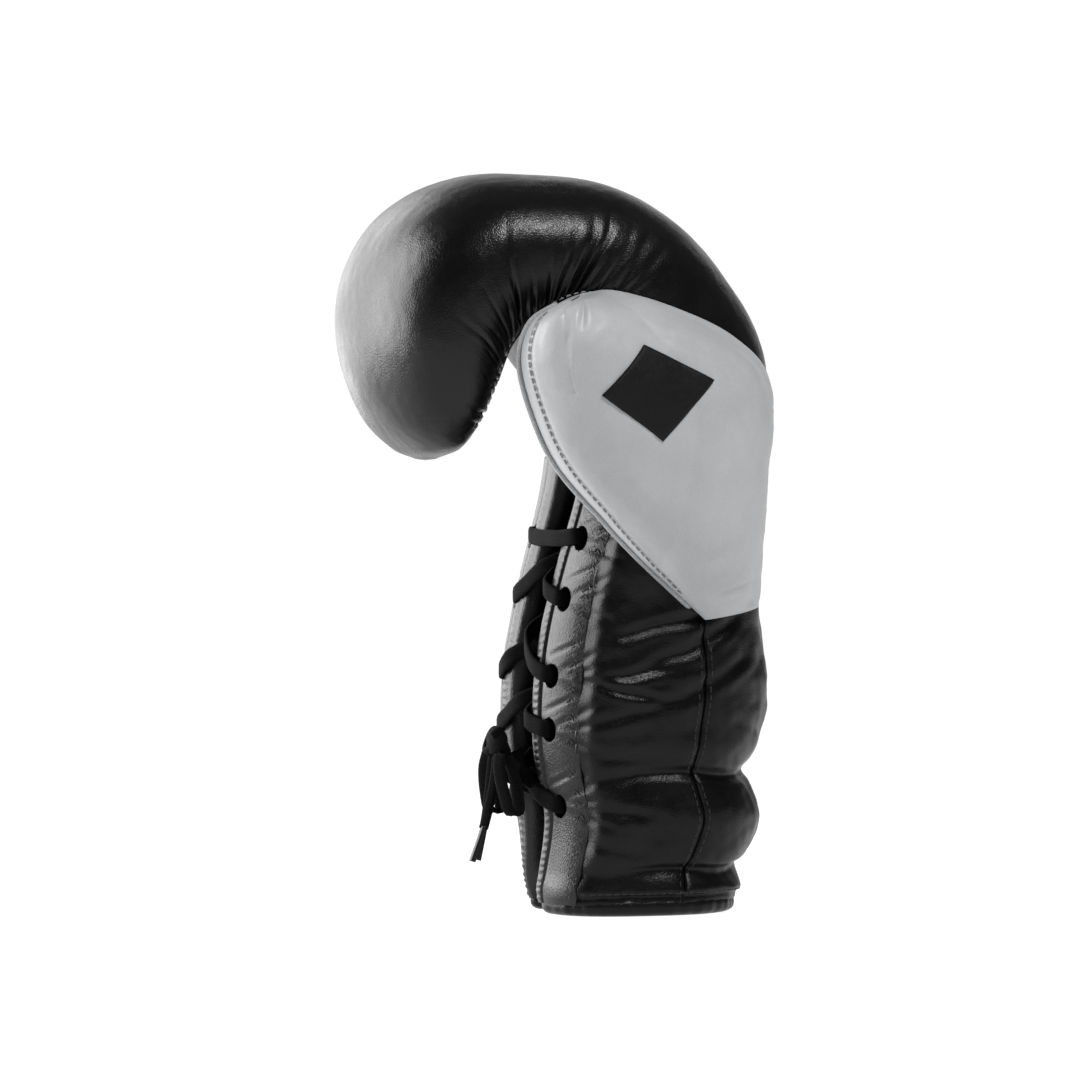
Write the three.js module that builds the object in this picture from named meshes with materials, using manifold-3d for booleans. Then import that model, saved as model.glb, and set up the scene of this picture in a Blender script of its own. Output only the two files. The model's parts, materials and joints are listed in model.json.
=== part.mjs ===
// Lace-up boxing glove, left hand, standing on its cuff. Millimetres, +Z up.
// +X is the back of the hand, -X is where the fist points, -Y is the thumb side.
import * as THREE from "three";
import { mergeVertices } from "three/addons/utils/BufferGeometryUtils.js";
import Module from "manifold-3d";

const wasm = await Module();
wasm.setup();

// ---- Driving dimensions ----
const LACE_WIDTH = 7.5;
const LACE_THICK = 1.5;
const RIBBON_SIDES = 8;
const HOLE_RADIUS = 5.6; // lace holes punched through the facings
const HOLE_TALL = 1.28; // how much taller than wide they are
const SEAM = 0.35; // half gap between neighbouring panels, degrees
const PAD_SEAM = 1.2; // extra half gap between neighbouring pads, degrees
const SEAM_ANGLE = 80; // side seams of the cuff, degrees from the back of the hand
const FACING_ANGLE = 135; // where each flap's facing starts
const NEAR_EDGE = 167; // free edge of the thumb-side flap
const FAR_EDGE = 184.5; // free edge of the other flap
const BACK_EXPONENT = 2.3; // roundness of the back half of each section
const PALM_EXPONENT = 2.7; // the palm half is flatter
const SIDE_SEAM = 112; // where the palm leather meets the side leather
const HAND_END = 14.4; // station where the hand pads stop at the fist's crease
const FIST_START = 14.62; // station where the fist pads begin

// Stations from the cuff hem up the wrist, over the knuckles and down to the fingertips.
// [palm x, palm z, back x, back z, half width, hollow from, hollow to (of palm to back), hollow half width]
const STATIONS = [
  [-8, 0, 78, 0, 46, 0.14, 0.86, 35],
  [-10.5, 10, 85, 10, 50, 0.14, 0.87, 37],
  [-11, 20, 86, 20, 50, 0.14, 0.87, 38],
  [-11.5, 42, 94, 42, 53, 0.13, 0.85, 39],
  [-16, 63, 89.5, 63, 53, 0.13, 0.87, 39],
  [-18.5, 80, 94, 80, 55.5, 0.13, 0.85, 40],
  [-18, 104, 97, 104, 56.5, 0.13, 0.83, 41],
  [-14, 130, 93, 130, 56, 0.13, 0.79, 42],
  [-6.5, 158, 91, 160, 58, 0.13, 0.71, 43],
  [2, 188, 93, 194, 61, 0.14, 0.64, 44],
  [5, 213, 95.5, 229, 63, 0.15, 0.6, 45],
  [-1, 233, 91, 256, 65, 0.16, 0.56, 46],
  [-11, 245, 76, 281.5, 66, 0.17, 0.52, 46],
  [-17, 253, 51.5, 308.5, 67, 0.18, 0.5, 46],
  [-22, 257, 21, 325.5, 67, 0.18, 0.48, 46],
  [-25, 258, -15, 329.5, 67, 0.18, 0.48, 46],
  [-29, 256, -50, 328, 66, 0.18, 0.48, 46],
  [-33, 250, -78, 312, 65, 0.18, 0.5, 45],
  [-35.5, 241, -94, 285, 62, 0.18, 0.52, 43],
  [-38, 231, -96, 253, 57, 0.2, 0.56, 38],
  [-42, 220, -86, 222, 46, 0.24, 0.62, 28],
  [-49, 208, -73, 207, 30, 0.3, 0.68, 14],
  [-58, 202.5, -65, 202.5, 9, 0.4, 0.6, 4],
];

// Thumb stations from its root on the side of the wrist to its tip beside the fingers.
// [palm-side x, z, back-side x, z, height off the side of the hand]
const THUMB = [
  [50, 132, 84, 137, 4],
  [30, 149, 90, 163, 15],
  [3, 174, 92, 200, 25],
  [-22, 200, 87, 234, 30],
  [-35, 225, 60, 254, 31],
  [-41, 247, 29, 267, 29],
  [-37, 263, 4, 276, 22],
  [-25, 272, -9, 277, 10],
];

const LACE_HOLES = [49, 83, 107, 141, 168]; // heights of the lace hole pairs

// ---- Surfaces ----
function catmullRom(rows, u) {
  const last = rows.length - 1;
  const v = Math.min(Math.max(u, 0), last);
  const i = Math.min(Math.floor(v), last - 1);
  const f = v - i;
  const before = i > 0 ? rows[i - 1] : rows[0].map((x, k) => 2 * x - rows[1][k]);
  const after = i + 2 <= last ? rows[i + 2] : rows[last].map((x, k) => 2 * x - rows[last - 1][k]);
  return rows[i].map((b, k) => {
    const a = before[k];
    const c = rows[i + 1][k];
    const d = after[k];
    const cubic = (-a + 3 * b - 3 * c + d) * f * f * f;
    return 0.5 * (2 * b + (c - a) * f + (2 * a - 5 * b + 4 * c - d) * f * f + cubic);
  });
}

function signedPower(x, p) {
  return Math.sign(x) * Math.abs(x) ** p;
}

function smoothStep(x) {
  const t = Math.min(Math.max(x, 0), 1);
  return t * t * (3 - 2 * t);
}

// Near the hem the thumb-side flap laps towards the other one, which is drawn in behind it.
const LAP_TURN = 9; // degrees
const LAP_SKEW = 0.18; // draw of the other flap, per mm across
const LAP_END = 3.6; // station where the lap starts

// A point of the glove's wall. rho is 0 on the hollow and 1 on the outside.
function wall(u, degrees, rho) {
  const [ix, iz, ox, oz, w, from, to, hollow] = catmullRom(STATIONS, u);
  const lap = smoothStep((LAP_END - u) / 2.9);
  const lapHere = lap * smoothStep(1 - Math.abs(degrees - 175) / 38);
  const t = ((degrees + LAP_TURN * lapHere) * Math.PI) / 180;
  const n = Math.cos(t) > 0 ? BACK_EXPONENT : PALM_EXPONENT;
  const q = signedPower(Math.cos(t), 2 / n);
  const side = -signedPower(Math.sin(t), 2 / n);
  const outer = 0.5 + 0.5 * q;
  const inner = (from + to) / 2 + ((to - from) / 2) * q;
  const along = inner + (outer - inner) * rho;
  const y = side * (hollow + (w - hollow) * rho);
  const x = ix + (ox - ix) * along + LAP_SKEW * lap * y * (1 - along);
  return new THREE.Vector3(x, y, iz + (oz - iz) * along);
}

// The half width of the glove's outside on the thumb side, above a point of the XZ plane.
function sideAt(x, z) {
  let best = 0;
  let least = Infinity;
  for (let u = 6; u <= 18; u += 0.05) {
    const [ix, iz, ox, oz] = catmullRom(STATIONS, u);
    const length = Math.hypot(ox - ix, oz - iz);
    const across = ((ox - ix) * (z - iz) - (oz - iz) * (x - ix)) / length;
    const along = ((ox - ix) * (x - ix) + (oz - iz) * (z - iz)) / (length * length);
    const miss = Math.abs(across) + 20 * Math.max(0, -along, along - 1);
    if (miss < least) {
      least = miss;
      best = u;
    }
  }
  const [ix, iz, ox, oz, w] = catmullRom(STATIONS, best);
  const size = (ox - ix) ** 2 + (oz - iz) ** 2;
  const along = ((ox - ix) * (x - ix) + (oz - iz) * (z - iz)) / size;
  const q = Math.min(Math.max(2 * along - 1, -0.35), 0.97);
  return w * (1 - Math.abs(q) ** BACK_EXPONENT) ** (1 / BACK_EXPONENT);
}

// A point of the thumb. s runs from root to tip, t from its palm side to its back side.
const thumbGrid = new Map();
function thumb(s, t, rho) {
  const [ax, az, bx, bz, high] = catmullRom(THUMB, s);
  const x = ax + (bx - ax) * t;
  const z = az + (bz - az) * t;
  const key = s.toFixed(3) + "," + t.toFixed(3);
  if (!thumbGrid.has(key)) thumbGrid.set(key, sideAt(x, z));
  const clear = (58 + 2 * s) * (1 - 0.6 * t * t); // keeps the tip off the side of the fist
  const inner = Math.max(thumbGrid.get(key) + 3.4, clear);
  const bulge = 1.9 * high * Math.max(t, 0.004) ** 0.42 * Math.max(1 - t, 0.004) ** 0.85;
  return new THREE.Vector3(x, -inner - 1.6 - bulge * rho - (rho - 0.5) * 1.6, z);
}

// ---- Solids ----
function range(from, to, step) {
  const list = [from];
  for (let v = Math.ceil(from / step + 1e-6) * step; v < to - 1e-6; v += step) list.push(v);
  list.push(to);
  return list;
}

// A closed block between two layers of a surface, over a grid of its two parameters.
function block(surface, us, vs, low, high, flip) {
  const positions = [];
  const index = [];
  const m = vs.length;
  const layer = us.length * m;
  [high, low].forEach((rho) =>
    us.forEach((u) =>
      vs.forEach((v) => {
        const p = surface(u, v, rho);
        positions.push(p.x, p.y, p.z);
      }),
    ),
  );
  const quad = (a, b, c, d) => {
    const order = flip ? [a, c, b, a, d, c] : [a, b, c, a, c, d];
    index.push(...order);
  };
  for (let i = 0; i + 1 < us.length; i++)
    for (let j = 0; j + 1 < m; j++) {
      const a = i * m + j;
      quad(a, a + 1, a + m + 1, a + m);
      quad(layer + a, layer + a + m, layer + a + m + 1, layer + a + 1);
    }
  for (let j = 0; j + 1 < m; j++) {
    const z = (us.length - 1) * m + j;
    quad(j, layer + j, layer + j + 1, j + 1);
    quad(z, z + 1, layer + z + 1, layer + z);
  }
  for (let i = 0; i + 1 < us.length; i++) {
    const a = i * m;
    const b = a + m - 1;
    quad(a, a + m, layer + a + m, layer + a);
    quad(b, layer + b, layer + b + m, b + m);
  }
  return closed(positions, index);
}

function closed(positions, index) {
  const geometry = new THREE.BufferGeometry();
  geometry.setAttribute("position", new THREE.Float32BufferAttribute(positions, 3));
  geometry.setIndex(index);
  return geometry;
}

// A tube that is closed round its section and at both ends: rings of points, in order.
function rings(list, flip) {
  const positions = [];
  const index = [];
  const m = list[0].length;
  list.forEach((ring) => ring.forEach((p) => positions.push(p.x, p.y, p.z)));
  const face = (a, b, c) => index.push(...(flip ? [a, c, b] : [a, b, c]));
  for (let i = 0; i + 1 < list.length; i++)
    for (let j = 0; j < m; j++) {
      const a = i * m + j;
      const b = i * m + ((j + 1) % m);
      face(a, b, b + m);
      face(a, b + m, a + m);
    }
  [0, list.length - 1].forEach((i) => {
    const centre = new THREE.Vector3();
    list[i].forEach((p) => centre.addScaledVector(p, 1 / m));
    positions.push(centre.x, centre.y, centre.z);
    const c = positions.length / 3 - 1;
    for (let j = 0; j < m; j++) {
      const a = i * m + j;
      const b = i * m + ((j + 1) % m);
      if (i === 0) face(c, b, a);
      else face(c, a, b);
    }
  });
  return closed(positions, index);
}

// A sleeve closed round its section, with an open bore: linings.
function sleeve(us, step, low, high) {
  const positions = [];
  const index = [];
  const m = 360 / step;
  const n = us.length;
  [high, low].forEach((rho) =>
    us.forEach((u) => {
      for (let j = 0; j < m; j++) {
        const p = wall(u, j * step, rho);
        positions.push(p.x, p.y, p.z);
      }
    }),
  );
  const at = (l, i, j) => l * n * m + i * m + (j % m);
  const quad = (a, b, c, d) => index.push(a, c, b, a, d, c);
  for (let j = 0; j < m; j++) {
    for (let i = 0; i + 1 < n; i++) {
      quad(at(0, i, j), at(0, i, j + 1), at(0, i + 1, j + 1), at(0, i + 1, j));
      quad(at(1, i, j), at(1, i + 1, j), at(1, i + 1, j + 1), at(1, i, j + 1));
    }
    quad(at(0, 0, j), at(1, 0, j), at(1, 0, j + 1), at(0, 0, j + 1));
    quad(at(0, n - 1, j), at(0, n - 1, j + 1), at(1, n - 1, j + 1), at(1, n - 1, j));
  }
  return closed(positions, index);
}

function toSolid(geometry) {
  const g = geometry.clone();
  g.deleteAttribute("normal");
  g.deleteAttribute("uv");
  const merged = mergeVertices(g, 1e-4);
  const triVerts = new Uint32Array(merged.index.array);
  const vertProperties = merged.attributes.position.array;
  return new wasm.Manifold(new wasm.Mesh({ numProp: 3, vertProperties, triVerts }));
}

function fromSolid(solid) {
  const mesh = solid.getMesh();
  const positions = [];
  for (let i = 0; i < mesh.numVert; i++) {
    const at = i * mesh.numProp;
    positions.push(...mesh.vertProperties.slice(at, at + 3));
  }
  return closed(positions, Array.from(mesh.triVerts));
}

function cut(geometry, tools) {
  let solid = toSolid(geometry);
  tools.forEach((tool) => {
    solid = solid.subtract(toSolid(tool));
  });
  return fromSolid(solid);
}

// ---- Materials ----
function material(color, roughness) {
  return new THREE.MeshStandardMaterial({ color, roughness, metalness: 0 });
}
const blackLeather = material(0x15171a, 0.42);
const greyLeather = material(0xa4a6a9, 0.45);
const facingLeather = material(0x222428, 0.5);
const foam = material(0x3c4046, 0.95);
const softFoam = material(0x6f7680, 0.95);
const lining = material(0x1c1d20, 0.9);
const piping = material(0x8f9195, 0.5);
const lace = material(0x08090a, 0.85);
const aglet = material(0x0c0c0d, 0.35);

const glove = new THREE.Group();
function add(name, geometry, slot) {
  const mesh = new THREE.Mesh(geometry, slot);
  mesh.name = name;
  glove.add(mesh);
  return mesh;
}

function panel(name, slot, u0, u1, d0, d1, low, high, du = 1, dd = 20) {
  const us = range(u0, u1, du);
  const vs = range(d0 + SEAM, d1 - SEAM, dd);
  return add(name, block(wall, us, vs, low, high, true), slot);
}

// A foam block: its sides stay clear of the blocks beside it.
function pad(name, slot, u0, u1, d0, d1, low, high, du = 1) {
  return panel(name, slot, u0, u1, d0 + PAD_SEAM, d1 - PAD_SEAM, low, high, du);
}

// ---- Cuff: leather, hem, wrist rolls and lining ----
const CUFF_START = 0.62;
const SKIN = 0.9; // leather starts here through the cuff wall
const LINED = 0.12; // the lining ends here
const CUFF_END = 7.4;
const FLAP_END = 8.95;
const FACING_END = 9.6; // the facings run on up beside the palm
const NEAR_HOLE = NEAR_EDGE - 14.5;
const FAR_HOLE = FAR_EDGE + 10.5;

// Station of a height on the palm side of the wrist.
function stationOf(z) {
  let u = 0;
  while (catmullRom(STATIONS, u)[1] < z) u += 0.01;
  return u;
}

function holes(angle) {
  return LACE_HOLES.map((z) => {
    const u = stationOf(z);
    const inside = wall(u, angle, -0.6);
    const outside = wall(u, angle, 1.6);
    const tool = new THREE.CylinderGeometry(HOLE_RADIUS, HOLE_RADIUS, 1, 8);
    const axis = outside.clone().sub(inside);
    tool.scale(1, axis.length(), HOLE_TALL);
    const turn = new THREE.Quaternion();
    turn.setFromUnitVectors(new THREE.Vector3(0, 1, 0), axis.clone().normalize());
    tool.applyQuaternion(turn);
    const middle = inside.add(outside).multiplyScalar(0.5);
    tool.translate(middle.x, middle.y, middle.z);
    return tool;
  });
}
const nearHoles = holes(NEAR_HOLE);
const farHoles = holes(FAR_HOLE);
const SPAN_NEAR = [FACING_ANGLE, NEAR_EDGE];
const SPAN_FAR = [FAR_EDGE, 360 - FACING_ANGLE];

panel("hem_roll_back", blackLeather, 0, CUFF_START - 0.04, -90, 90, 0, 1);
panel("hem_roll_thumb_side", blackLeather, 0, CUFF_START - 0.04, 90, NEAR_EDGE, 0, 1);
panel("hem_roll_little_finger_side", blackLeather, 0, CUFF_START - 0.04, FAR_EDGE, 270, 0, 1);

panel("cuff_leather_back", blackLeather, CUFF_START, CUFF_END, -SEAM_ANGLE, SEAM_ANGLE, SKIN, 1, 0.5);
panel("cuff_leather_thumb_flap", blackLeather, CUFF_START, FLAP_END, SEAM_ANGLE, FACING_ANGLE, SKIN, 1, 0.5);
panel("cuff_leather_little_finger_flap", blackLeather, CUFF_START, FLAP_END, 360 - FACING_ANGLE,
  360 - SEAM_ANGLE, SKIN, 1, 0.5);

function facing(name, span, tools) {
  const us = range(CUFF_START, FACING_END, 1);
  const vs = range(span[0] + SEAM, span[1] - SEAM, 15);
  add(name, cut(block(wall, us, vs, 0.7, 1, true), tools), facingLeather);
}
facing("facing_thumb_flap", SPAN_NEAR, nearHoles);
facing("facing_little_finger_flap", SPAN_FAR, farHoles);

pad("wrist_roll_lower", foam, CUFF_START, 1.95, -SEAM_ANGLE, SEAM_ANGLE, 0.15, 0.87);
pad("wrist_roll_middle", foam, 2.03, 3.95, -SEAM_ANGLE, SEAM_ANGLE, 0.15, 0.87);
pad("wrist_roll_upper", foam, 4.03, CUFF_END, -SEAM_ANGLE, SEAM_ANGLE, 0.15, 0.87);
pad("wrist_pad_thumb_flap", foam, CUFF_START, FLAP_END, SEAM_ANGLE, FACING_ANGLE, 0.15, 0.87);
pad("wrist_pad_little_finger_flap", foam, CUFF_START, FLAP_END, 360 - FACING_ANGLE,
  360 - SEAM_ANGLE, 0.15, 0.87);

function flapPad(name, span, tools) {
  const us = range(CUFF_START, FACING_END, 1);
  const vs = range(span[0] + SEAM, span[1] - SEAM, 20);
  add(name, cut(block(wall, us, vs, 0.2, 0.64, true), tools), softFoam);
}
flapPad("flap_pad_thumb_side", SPAN_NEAR, nearHoles);
flapPad("flap_pad_little_finger_side", SPAN_FAR, farHoles);

panel("cuff_lining", lining, CUFF_START, CUFF_END, -FACING_ANGLE, FACING_ANGLE, 0, LINED);

// ---- Hand: layered back pad, side pads, palm, grip bar and lining ----
const HAND_START = CUFF_END + 0.06;
const SIDE_START = FLAP_END + 0.06;
const THUMB_WINDOW_END = 10.4; // above the way from the hand compartment into the thumb
const BACK = [-SEAM_ANGLE, SEAM_ANGLE];
const LITTLE_SIDE = [-SIDE_SEAM, -SEAM_ANGLE];
const THUMB_SIDE = [SEAM_ANGLE, SIDE_SEAM];
const PALM = [SIDE_SEAM, 360 - SIDE_SEAM];
panel("hand_leather_back", blackLeather, HAND_START, HAND_END, ...BACK, 0.955, 1, 0.5);
panel("hand_leather_little_finger_side", blackLeather, SIDE_START, HAND_END, ...LITTLE_SIDE, 0.93, 1, 0.5);
panel("hand_leather_thumb_side", blackLeather, THUMB_WINDOW_END, HAND_END, ...THUMB_SIDE, 0.93, 1, 0.5);
// The palm is notched for the tops of the facings and for the slit between them.
const notchSpan = range(FACING_ANGLE, 360 - FACING_ANGLE, 15);
const notch = block(wall, [SIDE_START - 0.3, 9, FACING_END + 0.06], notchSpan, 0.1, 1.4, true);
function notched(name, slot, u1, d0, d1, low, high, du) {
  const us = range(SIDE_START, u1, du);
  add(name, cut(block(wall, us, range(d0, d1, 20), low, high, true), [notch]), slot);
}
notched("palm_leather", blackLeather, HAND_END, PALM[0] + SEAM, PALM[1] - SEAM, 0.88, 1, 0.5);
pad("back_pad_outer", foam, HAND_START, HAND_END, ...BACK, 0.53, 0.93);
pad("back_pad_inner", softFoam, HAND_START, HAND_END, ...BACK, 0.11, 0.51);
pad("side_pad_little_finger", foam, SIDE_START, HAND_END, ...LITTLE_SIDE, 0.14, 0.89);
pad("side_pad_thumb", foam, THUMB_WINDOW_END, HAND_END, ...THUMB_SIDE, 0.14, 0.89);
notched("palm_heel_pad", softFoam, 10.97, PALM[0] + SEAM + PAD_SEAM, PALM[1] - SEAM - PAD_SEAM, 0.16, 0.8, 1);
pad("palm_pad", softFoam, 11.03, 12.97, ...PALM, 0.16, 0.8);
pad("grip_bar", foam, 13.03, HAND_END, SIDE_SEAM + 12, 348 - SIDE_SEAM, 0.14, 0.78);
const thumbWay = new THREE.BoxGeometry(34, 60, 20);
thumbWay.translate(42, -68, 204);
add("hand_lining", cut(sleeve(range(SIDE_START, HAND_END, 1), 20, 0, 0.08), [thumbWay]), lining);

// ---- Fist: knuckle leather, gathered finger panel, three foam layers, fingertip pad, lining ----
const FIST_END = 22;
const POCKET_END = 19.6;
panel("fist_leather_outer", blackLeather, FIST_START, POCKET_END, -SIDE_SEAM, SIDE_SEAM, 0.965, 1, 0.5);
panel("finger_leather_inner", blackLeather, FIST_START, POCKET_END, ...PALM, 0.88, 1, 0.5);
pad("knuckle_pad_outer", foam, FIST_START, POCKET_END, -SIDE_SEAM, SIDE_SEAM, 0.68, 0.94);
pad("knuckle_pad_middle", softFoam, FIST_START, POCKET_END, -SIDE_SEAM, SIDE_SEAM, 0.4, 0.66);
pad("knuckle_pad_inner", foam, FIST_START, POCKET_END, -SIDE_SEAM, SIDE_SEAM, 0.11, 0.38);
pad("finger_pad_inner", softFoam, FIST_START, POCKET_END, ...PALM, 0.13, 0.78);
add("finger_lining", sleeve(range(FIST_START, POCKET_END, 1), 20, 0, 0.08), lining);

function capRings(us, rho) {
  return us.map((u) => {
    const ring = [];
    for (let d = 0; d < 360; d += 20) ring.push(wall(u, d, rho));
    return ring;
  });
}
add("fingertip_pad", rings(capRings(range(POCKET_END + 0.06, FIST_END - 0.3, 0.5), 0.92), true), foam);
const tip = toSolid(rings(capRings(range(POCKET_END + 0.06, FIST_END, 0.5), 1), true));
const tipBore = toSolid(rings(capRings(range(POCKET_END - 0.2, FIST_END - 0.2, 0.5), 0.95), true));
add("fingertip_leather", fromSolid(tip.subtract(tipBore)), blackLeather);

// ---- Thumb ----
const across = [0, 0.04, 0.12, 0.25, 0.42, 0.62, 0.8, 0.92, 1];
const shorter = (a, b) => [a, ...across.filter((t) => t > a && t < b), b];
function thumbBlock(name, slot, s0, s1, ts, low, high, tools = []) {
  const made = block(thumb, range(s0, s1, 1), ts, low, high, false);
  add(name, tools.length ? cut(made, tools) : made, slot);
}
thumbBlock("thumb_leather_outer", greyLeather, 0, 7, across, 0.94, 1);
thumbBlock("thumb_leather_inner", greyLeather, 0, 7, across, 0, 0.06, [thumbWay]);
thumbBlock("thumb_pad_outer", foam, 1, 7, shorter(0.06, 0.92), 0.77, 0.88);
thumbBlock("thumb_pad_inner", softFoam, 1, 7, shorter(0.06, 0.92), 0.09, 0.15, [thumbWay]);
thumbBlock("thumb_pad_palm_edge", foam, 2, 7, [0.06, 0.12, 0.25], 0.18, 0.74);
thumbBlock("thumb_pad_back_edge", foam, 2, 7, [0.62, 0.8, 0.92], 0.18, 0.74);

// ---- Trim and laces ----
// A cord or strap of flat section laid along a line of points, its width kept upright.
function ribbon(points, width, thick, steps, upright = new THREE.Vector3(0, 0, 1)) {
  const curve = new THREE.CatmullRomCurve3(points, false, "centripetal");
  const list = [];
  curve.arcLengthDivisions = 2000;
  for (let i = 0; i <= steps; i++) {
    const at = curve.getPointAt(i / steps);
    const along = curve.getTangentAt(i / steps).normalize();
    const wide = upright.clone().addScaledVector(along, -upright.dot(along)).normalize();
    const out = new THREE.Vector3().crossVectors(along, wide);
    const ring = [];
    for (let k = 0; k < RIBBON_SIDES; k++) {
      const a = ((k + 0.5) * 2 * Math.PI) / RIBBON_SIDES;
      const w = signedPower(Math.cos(a), 0.6) * width * 0.5;
      const h = signedPower(Math.sin(a), 0.6) * thick * 0.5;
      ring.push(at.clone().addScaledVector(wide, w).addScaledVector(out, h));
    }
    list.push(ring);
  }
  return rings(list, false);
}

function tube(points, radius, steps) {
  const section = new THREE.Shape();
  section.absarc(0, 0, radius, 0, 2 * Math.PI);
  const curve = new THREE.CatmullRomCurve3(points);
  const made = new THREE.ExtrudeGeometry(section, { steps, extrudePath: curve, curveSegments: 4 });
  return fromSolid(toSolid(made));
}

const edge = (s) => {
  const p = thumb(s, 0, 0.5);
  const q = thumb(s, 0.1, 0.5);
  const out = p.clone().sub(q).setY(0).normalize();
  return p.addScaledVector(out, 1.5);
};
add("thumb_piping", tube([0.8, 1.5, 2.25, 3, 3.75, 4.5, 5.25, 6, 6.5].map(edge), 1, 16), piping);

const crease = (d) => wall(14.44, d, 1.075);
const weltSide = [150, 140, 130, 120, 110, 100];
add("gather_welt_thumb_side", tube(weltSide.map(crease), 1, 8), blackLeather);
add("gather_welt_little_finger_side", tube(weltSide.map((d) => crease(360 - d)), 1, 8), blackLeather);

// A point on the lacing side of the cuff, by height and by distance across the palm.
function lacing(z, y, rho) {
  const u = stationOf(z);
  const share = Math.min(Math.abs(y) / catmullRom(STATIONS, u)[4], 1);
  const angle = (Math.asin(share ** (PALM_EXPONENT / 2)) * 180) / Math.PI;
  return wall(u, 180 + Math.sign(y) * angle, rho);
}
const middleStation = stationOf(100);
const NEAR = { hole: wall(middleStation, NEAR_HOLE, 1).y, edge: wall(middleStation, NEAR_EDGE, 1).y };
const FAR = { hole: wall(middleStation, FAR_HOLE, 1).y, edge: wall(middleStation, FAR_EDGE, 1).y };
const MIDDLE = (NEAR.edge + FAR.edge) / 2;
// From a hole the lace runs under its flap, comes out of the slit and crosses over to the next hole.
function crossing(from, to, z0, z1, level) {
  const dz = z1 - z0;
  const sign = Math.sign(to.hole - from.hole);
  return [
    lacing(z0, from.hole, 0.5),
    lacing(z0 + dz * 0.03, from.hole + sign * 1.1, 0),
    lacing(z0 + dz * 0.1, (from.hole + from.edge) / 2, -0.1),
    lacing(z0 + dz * 0.22, from.edge + sign, -0.02),
    lacing(z0 + dz * 0.5, MIDDLE, level),
    lacing(z0 + dz * 0.8, to.edge - sign * 1.5, 1.14),
    lacing(z0 + dz * 0.93, (to.hole + to.edge) / 2, 1.17),
    lacing(z0 + dz * 0.98, to.hole - sign * 2, 1.1),
  ];
}
const [z0, z1, z2, z3, z4] = LACE_HOLES;
const UPPER = 0.95; // where the strand on top crosses, through the wall of the cuff
const LOWER = 0.3; // where the strand below crosses
const KNOT_HEIGHT = 77;
const knotEnd = (side, sign) => [
  lacing(z0, side.hole, 0.5),
  lacing(z0 + 1, side.hole + sign * 1.6, 0),
  lacing(z0 + 2, (side.hole + side.edge) / 2, -0.1),
  lacing(z0 + 4, side.edge + sign * 1.5, 0),
  lacing(z0 + 9, side.edge + sign * 5, 0.85),
  lacing(z0 + 14, MIDDLE - sign * 8.6, 1.36),
  lacing(KNOT_HEIGHT - 9, MIDDLE - sign * 6.8, 1.36),
  lacing(KNOT_HEIGHT - 4, MIDDLE - sign * 5.2, 1.38),
];
const up = [
  crossing(FAR, NEAR, z1, z0, UPPER),
  crossing(NEAR, FAR, z2, z1, UPPER),
  crossing(FAR, NEAR, z3, z2, UPPER),
  crossing(NEAR, FAR, z4, z3, UPPER),
];
const down = [
  crossing(FAR, NEAR, z4, z3, LOWER),
  crossing(NEAR, FAR, z3, z2, LOWER),
  crossing(FAR, NEAR, z2, z1, LOWER),
  crossing(NEAR, FAR, z1, z0, LOWER),
];
const topBar = [
  lacing(z4 + 1, NEAR.hole + 1, 1.1),
  lacing(z4, NEAR.edge, 1.15),
  lacing(z4, MIDDLE, 1.15),
  lacing(z4, FAR.edge, 1.15),
  lacing(z4 + 1, FAR.hole - 1, 1.1),
];
const route = [...knotEnd(NEAR, 1).reverse(), ...up.flatMap((c) => c.reverse()), ...topBar];
route.push(...down.flat(), ...knotEnd(FAR, -1));
add("lace_threaded", ribbon(route, LACE_WIDTH, LACE_THICK, 130), lace);

// ---- Bow: knot, two hanging loops, two tails with their tips ----
const knot = new THREE.SphereGeometry(1, 12, 8);
const knotCentre = lacing(KNOT_HEIGHT, MIDDLE, 1.78);
knot.scale(4.4, 7.5, 6);
knot.translate(knotCentre.x, knotCentre.y, knotCentre.z);
add("lace_knot", knot, lace);
const sideways = new THREE.Vector3(0, 1, 0);
const LOOP_WIDTH = 5.6; // the lace is pinched narrower in the bow
const TAIL_WIDTH = 4.4;
const fromKnot = (x, y, z) => knotCentre.clone().add(new THREE.Vector3(x, y, z));
function bowLoop(sign) {
  const line = [
    [-1.5, 8.3, -5.2],
    [-2.5, 10, -12],
    [-1, 12.5, -23],
    [1.5, 13.5, -31],
    [5.4, 13, -31],
    [5.4, 11.5, -22],
    [4, 10, -13],
    [2, 8.6, -6.4],
  ];
  return ribbon(line.map(([x, y, z]) => fromKnot(x, y * sign, z)), LOOP_WIDTH, LACE_THICK, 20, sideways);
}
add("lace_loop_thumb_side", bowLoop(-1), lace);
add("lace_loop_little_finger_side", bowLoop(1), lace);

function tail(sign, from, to) {
  const sweep = sign < 0 ? 1 : 0.55; // the thumb-side tail curls out further
  const line = [
    [-1, 2.8, -6.4],
    [-2, 2.8, -15],
    [-1.5 - 3 * sweep, 3.1, -27],
    [-1.5 - 6 * sweep, 3.4, -38],
    [-1.5 - 11.5 * sweep, 3.6, -53],
  ];
  const points = line.map(([x, y, z]) => fromKnot(x, y * sign, z));
  const curve = new THREE.CatmullRomCurve3(points, false, "centripetal");
  const part = [];
  for (let i = 0; i <= 8; i++) part.push(curve.getPointAt(from + ((to - from) * i) / 8));
  return part;
}
const LACE_SHARE = 0.7; // of each tail; the rest is its tip
[
  ["thumb_side", -1],
  ["little_finger_side", 1],
].forEach(([name, sign]) => {
  const cord = tail(sign, 0, LACE_SHARE);
  add("lace_tail_" + name, ribbon(cord, TAIL_WIDTH, LACE_THICK, 10, sideways), lace);
  const tip = tail(sign, LACE_SHARE + 0.01, 1);
  add("lace_tip_" + name, ribbon(tip, 3.4, 2.6, 4, sideways), aglet);
});

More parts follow.
